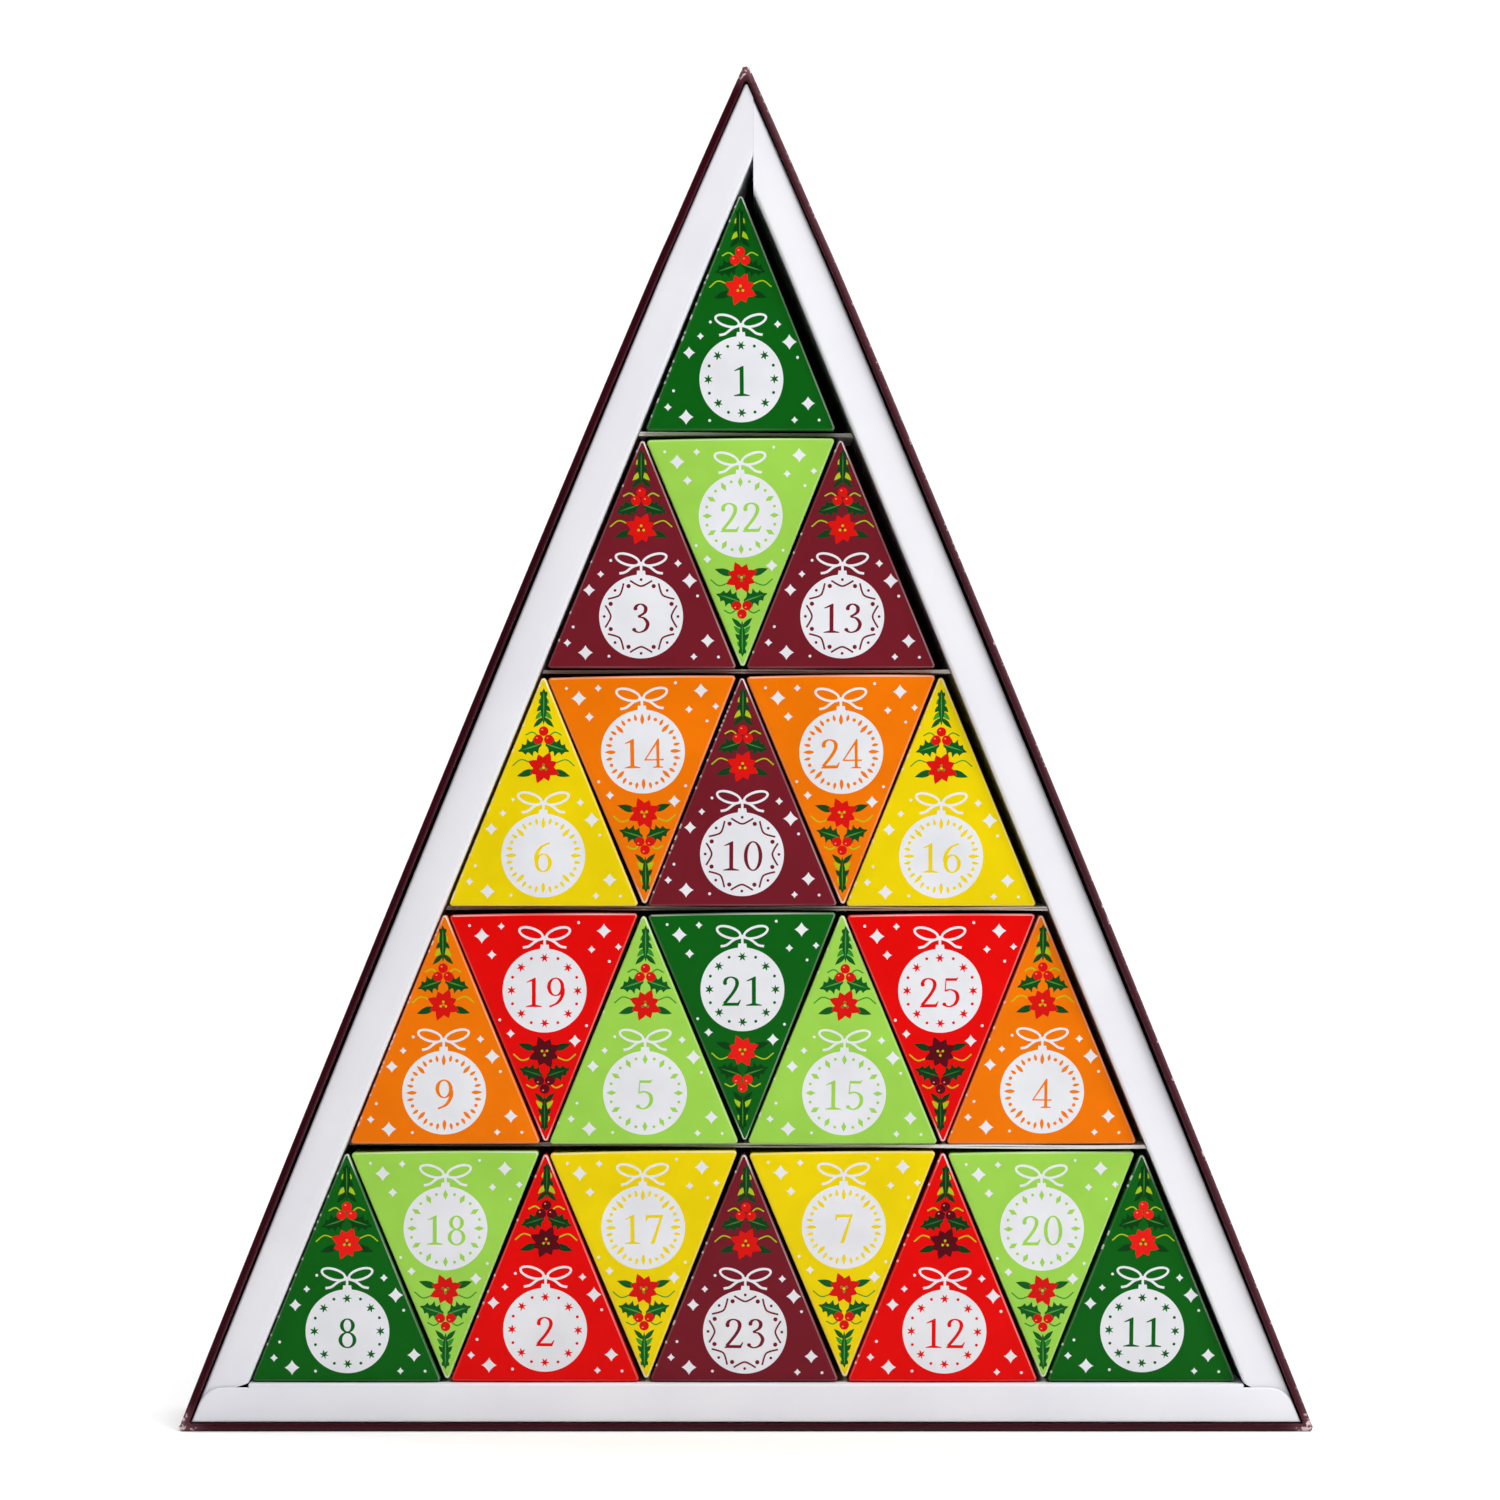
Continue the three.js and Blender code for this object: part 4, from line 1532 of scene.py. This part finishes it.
@dataclass
class SideStrip:
    """A folded side strip of the frame: an inner wall, a deck and an outer leg with rounded folds.

    Attributes:
        nest: the space that it lines.
        side: 1 on the right or -1 on the left.
        seam: x of the upright seam at the tip.
        fills_tip: whether this strip's deck runs on to the other side's outer edge.
    """

    nest: Nest
    side: int
    seam: float
    fills_tip: bool
    inner_fold: float = 0.9 * MM
    outer_fold: float = 0.75 * MM
    stations: int = 64
    sag: float = 0.16 * MM  # how far the deck waves up and down between its folds
    slope: float = 0.95 * MM  # how much lower the deck's outer edge lies than its fold, at most
    tip_lift: float = 0.9 * MM  # how much the deck rises where it is squeezed into the tip
    foot: float = -7.5 * MM  # where the strip ends under the bottom deck, from the nest's wide edge
    slit: float = 0.2 * MM  # where its fold is cut short, beside the bottom deck's flap
    slit_reach: float = 2.9 * MM  # how far the cut runs from the fold
    slit_end: float = 0.6 * MM  # how far past it the strip's end drops to the foot
    slit_drop: float = 1.2 * MM  # how much lower the cut lies at its end
    tip_cut: float = 0.8 * MM  # what the deck lacks of its full point
    follow: float = 0.6  # how much of the wall's belly the deck's outer edge follows

    def profile(self, inward: float, bend_at: list[float]) -> np.ndarray:
        """Gives the section: offsets from the nest's side and depths below the deck.

        Straight runs are divided evenly and each fold is a quarter circle.

        Args:
            inward: how far the section lies inside the outer surface.
            bend_at: offsets that the deck needs a point on.

        Returns:
            The section's points from the foot of the inner wall to the foot of the outer leg.
        """
        nest = self.nest
        foot = nest.seat - nest.deck
        turn = np.linspace(0, math.pi / 2, 7)
        r1, r2 = self.inner_fold, self.outer_fold
        rise = np.linspace(foot, r1, 6)[:-1]
        wall = np.stack([np.full(5, inward), rise], 1)
        first = np.stack([r1 - (r1 - inward) * np.cos(turn), r1 - (r1 - inward) * np.sin(turn)], 1)
        flat = np.unique(np.concatenate([np.linspace(r1, nest.width - r2, 8)[1:-1], bend_at]))
        deck = np.stack([flat, np.full(len(flat), inward)], 1)
        outer_x = nest.width - r2 + (r2 - inward) * np.sin(turn)
        second = np.stack([outer_x, r2 - (r2 - inward) * np.cos(turn)], 1)
        leg = np.stack([np.full(5, nest.width - inward), np.linspace(r2, foot, 6)[1:]], 1)
        return np.concatenate([wall, first, deck, second, leg])

    def grid(self, inward: float, bend_at: list[float]) -> np.ndarray:
        """Carries the section along the strip.

        A point at an offset runs in a straight line from the foot to the seam, or to the far side's outer
        edge where the strip fills the tip. The deck sags by sag sin(3 pi t) sin(pi offset / width). Its
        outer edge lies lower by slope min(1, 4 t) sqrt(1 - t), and all of it rises by tip_lift t^4.

        Args:
            inward: how far the surface lies inside the outer one.
            bend_at: offsets that the deck needs a point on.

        Returns:
            Model points, a row for each point of the section and a column for each station.
        """
        nest = self.nest
        offset, depth = self.profile(inward, bend_at).T
        cut = [self.slit, self.slit - self.slit_drop, self.foot]
        foot = np.interp(offset, [0.0, self.slit_reach, self.slit_reach + self.slit_end], cut)
        start_x = nest.side_x(self.side, offset, foot)
        end_z = nest.side_z(self.side, offset, self.seam)
        end_x = np.full(len(offset), self.seam)
        if self.fills_tip:
            far_z = nest.plan.height + (offset + nest.width) / (2 * SIN)
            far_x = self.side * (offset - nest.width) / (2 * COS)
            past = far_x * self.side > self.seam * self.side
            end_x, end_z = np.where(past, far_x, end_x), np.where(past, far_z, end_z)
        top = nest.plan.height + nest.width / SIN - self.tip_cut
        end_x = np.where(end_z > top, nest.side_x(self.side, offset, top), end_x)
        end_z = np.minimum(end_z, top)
        t = np.linspace(0, 1, self.stations)
        x = start_x[:, None] * (1 - t) + end_x[:, None] * t
        z = foot[:, None] * (1 - t) + end_z[:, None] * t + nest.plan.z
        across = np.clip(offset / nest.width, 0, 1)[:, None]
        wave = self.sag * np.sin(3 * math.pi * t) * np.sin(math.pi * across)
        wave = wave + self.slope * across * np.minimum(1, 4 * t) * np.sqrt(1 - t) - self.tip_lift * t**4
        standing = depth[:, None] > nest.seat - nest.deck - 0.01 * MM
        y = nest.deck + depth[:, None] + np.where(standing, 0, wave)
        x, z = Strain().apply(x, z, self.follow * across)
        return np.stack([x, y, z], -1)

    def build(self, finishes: Finishes) -> None:
        """Makes the strip as an outer and an inner face joined along all four edges.

        Args:
            finishes: the materials.
        """
        bend_at = [self.slit_reach, self.slit_reach + self.slit_end]
        if self.fills_tip:
            bend_at.append(self.nest.width - 2 * COS * abs(self.seam))
        work = Sheetwork()
        work.closed_sheet(self.grid(0.0, bend_at), self.grid(self.nest.card, bend_at))
        name = "frame_right" if self.side > 0 else "frame_left"
        work.make(f"{name}_strip", "box", "frame_card", [finishes.frame_card], name)


@dataclass
class BottomStrip:
    """The bottom strip of the frame, whose deck laps over both side strips and ends in rounded flaps.

    Attributes:
        nest: the space that it lines.
    """

    nest: Nest
    flap_radius: float = 7 * MM
    relief: float = 0.9 * MM  # how far the flaps' upper edges lie below the deck's
    fold: float = 0.58 * MM
    under_inset: float = 0.02 * MM  # how much smaller and deeper than the card the deck's underside is

    def deck_outline(self, inset: float) -> np.ndarray:
        """Gives the deck's outline.

        The flaps reach to the outer edges of the side decks, and each one's upper corner is an arc of
        flap_radius. Their upper edges lie lower by relief than the edge between the two folds.

        Args:
            inset: how far it is moved inwards.

        Returns:
            Plan points, anticlockwise.
        """
        nest = self.nest
        width, z0 = nest.width - inset, nest.plan.z
        fold_x = float(nest.side_x(1, np.array(-nest.gap), 0.0))
        low_x = float(nest.side_x(1, np.array(width), -width))
        top = -self.relief - inset
        corner = np.array([float(nest.side_x(1, np.array(width), top)), top])
        turn = math.pi / 2 - HALF_ANGLE
        reach = (self.flap_radius - inset) * math.tan(turn / 2)
        centre = corner + (-reach, -(self.flap_radius - inset))
        a = np.linspace(HALF_ANGLE, math.pi / 2, 13)
        flap = centre + (self.flap_radius - inset) * np.stack([np.cos(a), np.sin(a)], 1)
        notch = np.array([(fold_x - inset, top), (fold_x - inset, -inset)])
        half = np.concatenate([[(low_x, -width)], flap, notch])
        return np.concatenate([half, (half * (-1, 1))[::-1]]) + (0, z0)

    def plate(self, work: Sheetwork, outlines: list[np.ndarray], levels: list[float]) -> None:
        """Adds a closed plate through the given outlines, with flat faces on its first and last.

        Args:
            work: the strip's sheetwork.
            outlines: plan points, as many in each.
            levels: one for each outline.
        """
        rings = [work.add(at_level(o, y)) for o, y in zip(outlines, levels)]
        none = np.zeros((0, 2))
        for k, order in ((0, 1), (-1, -1)):
            faces = rings[k][triangulate(outlines[k], none, none.astype(int))[1]]
            work.skin(faces[:, ::order])
        work.skin(bridge(np.stack(rings)))
        work.seal()

    def build(self, finishes: Finishes) -> None:
        """Makes the deck with its rounded edges, the inner wall and the outer leg.

        Args:
            finishes: the materials.
        """
        nest, r = self.nest, self.fold
        work = Sheetwork()
        turns = np.radians([0, 30, 60, 90])
        insets = [r * (1 - math.sin(a)) for a in turns]
        levels = [nest.lap + r * (1 - math.cos(a)) for a in turns]
        outlines = [self.deck_outline(i) for i in [*insets, self.under_inset]]
        self.plate(work, outlines, [*levels, nest.lap + nest.card + self.under_inset])
        z0, under = nest.plan.z, nest.lap + 0.9 * nest.card
        spans = ((0.0, -nest.card, -nest.gap), (nest.card - nest.width, -nest.width, nest.width))
        for upper, lower, offset in spans:
            low_x, high_x = (float(nest.side_x(1, np.array(offset), z)) for z in (lower, upper))
            wall = np.array([(-low_x, lower), (low_x, lower), (high_x, upper), (-high_x, upper)]) + (0, z0)
            self.plate(work, [wall, wall], [under, nest.seat])
        work.make("frame_bottom_strip", "box", "frame_card", [finishes.frame_card], "frame_bottom")


@dataclass
class Shelf:
    """A shelf of two plies of card laid together, each with its own slight wave along its front edge.

    Attributes:
        number: from 1 for the uppermost.
        nest: the space that it divides.
        skews: for each shelf, shares across its front edge, and how many millimetres deeper the edge lies
            there.
    """

    number: int
    nest: Nest
    stations: int = 60
    rows: int = 6
    wave: float = 0.12 * MM
    ply_gap: float = 0.03 * MM
    skews: tuple[tuple[tuple[float, ...], tuple[float, ...]], ...] = (
        ((0, 1), (0.2, 4.0)),
        ((0, 1), (5.0, 0.4)),
        ((0, 1), (7.0, -0.4)),
        ((0, 0.66, 0.76, 1), (9.0, 1.2, -1.6, -1.9)),
    )

    def build(self, finishes: Finishes) -> None:
        """Makes both plies as closed sheets.

        A ply's height is its rest height plus wave sin(2 pi (x / period + phase)), fading from the front
        edge to the back. Its front edge lies deeper by what skews say.

        Args:
            finishes: the materials.
        """
        low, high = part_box(f"shelf_{self.number}")
        work = Sheetwork()
        draw = np.random.default_rng(100 + self.number)
        thick = (high.z - low.z) / 2
        fade = np.linspace(1, 0, self.rows)[:, None]
        for ply in (0, 1):
            period, phase = draw.uniform(50, 90) * MM, draw.uniform(0, 1)
            layers = []
            for z in (low.z + ply * thick, low.z + (ply + 1) * thick - self.ply_gap):
                reach = float(self.nest.side_x(1, np.array(-self.nest.gap), z - self.nest.plan.z))
                x = np.linspace(-reach, reach, self.stations)
                lift = self.wave * np.sin(2 * math.pi * (x / period + phase)) * fade
                skew = np.interp((x + reach) / (2 * reach), *self.skews[self.number - 1]) * MM
                depth = high.y + (low.y + skew - high.y) * fade
                layers.append(np.stack(np.broadcast_arrays(x, depth, z + lift), -1))
            work.closed_sheet(*layers)
        name = f"shelf_{self.number}"
        work.make(f"{name}_plies", "box", "shelf_card", [finishes.shelf_card], name)


@dataclass
class Tray:
    """The rigid tray: greyboard walls and back under one skin of wrap paper, turned in over the rim.

    Attributes:
        plan: the wedge of its outer faces.
        front: level of the rim.
        back: level of the back's outer face.
    """

    plan: Wedge
    front: float
    back: float
    board: float = 2.2 * MM
    corner: float = 1.2 * MM
    inner_corner: float = 0.5 * MM
    edge: float = 0.6 * MM
    rim_slope: float = 0.35 * MM  # how much lower the rim's outer edge lies than its inner one
    arcs: int = 14
    sides: int = 90
    ease: float = 0.9  # how much shorter the segments near the corners are, see rounded_loop
    pleats: int = 3
    pleat_height: float = 0.26 * MM
    pleated_from: float = 0.4  # only rings with more wear than this are pleated
    corner_wear: float = 6 * MM  # how far from a corner the folded paper is rubbed
    corner_shares: tuple[float, float, float] = (0.8, 0.82, 0.86)  # rubbed: left foot, right foot and tip
    edge_shares: tuple[float, float, float] = (0.4, 0.72, 0.2)  # painted highlight and wear on the rim's wide, right and left sides, most on the right, where the light falls
    corner_gain: float = 1.8  # how much more strongly a ring's wear tells at the corners
    worn_whole: float = 3 * MM  # how far from a corner's true point the wear is at its full
    bellied: float = 25 * MM  # how far inwards the floor and the back still follow the walls' belly
    frame_gap: float = 0.35 * MM  # between the walls and the frame's outer legs
    true_corner: float = 3.6 * MM  # the corners' radius in the CAD node

    @classmethod
    def from_frame(cls) -> Tray:
        """Takes the tray's place and size from the box of its CAD node."""
        low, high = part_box("case_tray")
        return cls(Wedge(0.0, low.z, wedge_round(high.z - low.z, cls.true_corner)), low.y, high.y)

    def sections(self) -> list[tuple[float, float, float]]:
        """Lists the rings from the back's middle round the rim to the floor's.

        Returns:
            Each ring's inset, level and wear, which also sets where the rim's edges take a painted highlight.
        """
        e, b, front, back = self.edge, self.board, self.front, self.back
        sections = [(inset * MM, back, 0) for inset in (80, 50, 20, 3)]
        sections += [(e, back, 0.45), (0.3 * e, back - 0.3 * e, 0.8)]
        sections += [(0, back - e, 0.5), (0, back - 3 * MM, 0)]
        sections += [(0, back + (front - back) * t, 0) for t in (0.2, 0.4, 0.6, 0.8)]
        low = front + self.rim_slope
        sections += [(0, low + 3 * MM, 0.1), (0, low + e, 0.6), (0.3 * e, low + 0.3 * e, 1), (e, low, 0.8)]
        sections += [(b / 2, (low + front) / 2, 0.6), (b - e, front, 0.4)]
        sections += [(b - 0.3 * e, front + 0.3 * e, 0.4), (b, front + e, 0.3), (b, front + 3 * MM, 0)]
        return [*sections, *((inset, back - b, 0) for inset in (b, b + 3 * MM, 40 * MM, 78 * MM))]

    def build(self, finishes: Finishes) -> None:
        """Makes the tray's skin.

        Paper gathers in pleats round the three corners, near the rim and the back: a point at the share s
        of an arc stands out by pleat_height (|sin(pi pleats s)| - 0.5). A point takes the greater of two
        values. One is its ring's wear w times its side's share: wear and a painted highlight along the rim's
        edges, most on the right, where the light falls. The other is the corners' wear, min(1, corner_gain w)
        times its corner's share and exp(-(d / corner_wear)^2), at the distance d beyond worn_whole.

        Args:
            finishes: the materials.
        """
        rings, wear_and_highlight_rings = [], []
        index = np.arange(3 * (self.arcs + self.sides)) % (self.arcs + self.sides)
        pleat = np.where(index <= self.arcs, abs(np.sin(math.pi * self.pleats * index / self.arcs)), 0)
        edges = np.repeat(self.edge_shares, self.arcs + self.sides)
        middle = self.plan.incentre()
        sharp = self.plan.corners(0, 0, 0)
        for inset, level, wear in self.sections():
            share = min(1.0, inset / self.board)
            radius = self.corner * (1 - share) + self.inner_corner * share
            corners = self.plan.corners(-inset, -inset, -inset)
            plan = rounded_loop(corners, radius, self.arcs, self.sides, self.ease)
            gathered = self.pleat_height * (pleat - 0.5) * (wear > self.pleated_from) * (inset <= self.edge)
            plan = plan + unit(plan - middle) * gathered[:, None]
            near = np.clip(np.linalg.norm(plan[:, None] - sharp, axis=2) - self.worn_whole, 0, None)
            rubbed = (np.exp(-((near / self.corner_wear) ** 2)) * self.corner_shares).max(1)
            follow = float(np.clip(1 - (inset - self.board) / self.bellied, 0, 1))
            x, z = Strain().apply(plan[:, 0], plan[:, 1], follow)
            rings.append(at_level(np.stack([x, np.maximum(z, self.plan.z)], -1), level))
            # the sides' share paints the rim's highlight along with its wear; the corners' share is real wear
            wear_and_highlight_rings.append(np.maximum(wear * edges, min(1.0, self.corner_gain * wear) * rubbed))
        work = Sheetwork()
        poles = at_level(np.repeat(middle[None], 2, 0), np.array([self.back, self.back - self.board]))
        work.capsule(np.stack(rings), poles[0], poles[1])
        wear = np.concatenate([*wear_and_highlight_rings, [0, 0]])
        work.make("case_tray_wrap", "box", "wrap_paper", [finishes.wrap], "case_tray", {"wear": wear})


# Studio


@dataclass(frozen=True)
class Softbox:
    """One soft light: its place, the point it is aimed at, its width and height in metres, and its watts."""

    name: str
    place: tuple[float, float, float]
    aim: tuple[float, float, float]
    size: tuple[float, float]
    power: float

    def hang(self) -> None:
        """Adds the light to the scene."""
        lamp = bpy.data.lights.new(self.name, "AREA")
        lamp.shape, lamp.size, lamp.size_y, lamp.energy = "RECTANGLE", *self.size, self.power
        holder = bpy.data.objects.new(self.name, lamp)
        holder.location = self.place
        holder.rotation_euler = (Vector(self.aim) - Vector(self.place)).to_track_quat("-Z", "Y").to_euler()
        bpy.context.scene.collection.objects.link(holder)


@dataclass(frozen=True)
class Studio:
    """The pale floor and backdrop, the soft lights and the camera."""

    frame_width: float = 413.6 * MM  # what the photograph takes in at the front of the object
    distance: float = 1.3
    film: float = 36.0  # the sensor's width in millimetres
    aim_x: float = 1.1 * MM
    aim_z: float = 188.0 * MM
    bend: float = 0.5  # radius of the sweep between the floor and the backdrop
    wall: float = 1.6  # height of the backdrop above the bend
    near: float = -2.2  # y of the floor's front edge
    far: float = 0.9  # y where the sweep starts to bend
    half: float = 2.6  # half of the sweep's width
    ambient: float = 0.05
    cloud: float = 0.4  # about how wide the sweep's faint patches are
    softboxes: tuple[Softbox, ...] = (
        Softbox("key_softbox", (0.5, -0.55, 1.05), (0, 0, 0.19), (0.5, 0.5), 9.6),
        Softbox("edge_softbox", (0.95, -0.55, 0.35), (0, 0, 0.19), (0.12, 0.9), 0.4),
        Softbox("top_softbox", (0.0, -0.4, 1.9), (0, -0.4, 0), (2.2, 1.2), 19),
        Softbox("backdrop_light", (0.0, 0.45, 1.7), (0, 1.2, 0.5), (2.4, 0.6), 23),
    )

    def sweep(self) -> None:
        """Makes the floor and backdrop as one sheet: flat, then a quarter circle, then upright."""
        shade = Shading("studio_sweep_white")
        cloud = shade.node("TexNoise", {"Scale": 1 / self.cloud})
        tone = shade.node("Mix", {0: cloud, 6: "#fbfbfb", 7: "#f7f7f7"}, 2, data_type="RGBA")
        turn = np.linspace(-math.pi / 2, 0, 16)
        bend_y, bend_z = self.far + self.bend * np.cos(turn), self.bend + self.bend * np.sin(turn)
        y = np.concatenate([[self.near], bend_y, [self.far + self.bend]])
        z = np.concatenate([[0.0], bend_z, [self.bend + self.wall]])
        x = np.linspace(-self.half, self.half, 9)
        points = np.stack(np.broadcast_arrays(x[None], y[:, None], z[:, None]), -1)
        numbers = np.arange(points[..., 0].size).reshape(points.shape[:2])
        quads = np.stack([numbers[:-1, :-1], numbers[:-1, 1:], numbers[1:, 1:], numbers[1:, :-1]], -1)
        mesh = bpy.data.meshes.new("studio_sweep")
        mesh.from_pydata(points.reshape(-1, 3).tolist(), [], quads.reshape(-1, 4).tolist())
        mesh.materials.append(shade.finish({"Base Color": tone, "Roughness": 0.9}))
        mesh.shade_smooth()
        sweep = bpy.data.objects.new("studio_sweep", mesh)
        bpy.context.scene.collection.objects.link(sweep)

    def camera(self, front: float) -> None:
        """Sets the camera square to the front, as far away as the photograph's perspective suggests.

        Args:
            front: level of the tray's rim.
        """
        lens = bpy.data.cameras.new("camera")
        lens.sensor_width = self.film
        lens.lens = self.film * self.distance / self.frame_width
        holder = bpy.data.objects.new("camera", lens)
        holder.location = (self.aim_x, front - self.distance, self.aim_z)
        holder.rotation_euler = (math.pi / 2, 0, 0)
        bpy.context.scene.collection.objects.link(holder)
        bpy.context.scene.camera = holder

    def build(self, front: float) -> None:
        """Sets up the whole studio.

        Args:
            front: level of the tray's rim.
        """
        self.sweep()
        for softbox in self.softboxes:
            softbox.hang()
        self.camera(front)
        world = bpy.data.worlds.new("studio_world")
        world.use_nodes = True
        world.node_tree.nodes["Background"].inputs["Color"].default_value = linear("#ffffff")
        world.node_tree.nodes["Background"].inputs["Strength"].default_value = self.ambient
        bpy.context.scene.world = world
        bpy.context.scene.view_settings.view_transform = "Standard"


def main() -> None:
    """Builds the calendar round its frame."""
    logging.basicConfig(level=logging.INFO, format="%(name)s %(message)s")
    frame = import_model()
    finishes = Finishes()
    tray = Tray.from_frame()
    tray.build(finishes)
    left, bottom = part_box("frame_left"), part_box("frame_bottom")
    plan = tray.plan.inset(tray.board + tray.frame_gap + Nest.width)
    nest = Nest(plan, left[1].y, left[0].y, bottom[0].y)
    SideStrip(nest, -1, TIP_SEAMS[0], True).build(finishes)
    SideStrip(nest, 1, TIP_SEAMS[1], False, slit_reach=RIGHT_SLIT).build(finishes)
    BottomStrip(nest).build(finishes)
    for number in range(1, SHELVES + 1):
        Shelf(number, nest).build(finishes)
    slots = {row["node"]: row["material_slot"] for row in frame["record"]["subparts"]}
    turning = {joint["name"]: joint["axis"] for joint in frame["joints"]}
    for number in range(1, CARTONS + 1):
        hanging = abs(turning[f"open_{number:02d}"][0]) > 0.9  # its crease, the wide edge, runs along X
        Carton.from_frame(number, slots[f"carton_{number:02d}"], hanging).build(finishes)
    Studio().build(tray.front)


if __name__ == "__main__":
    main()
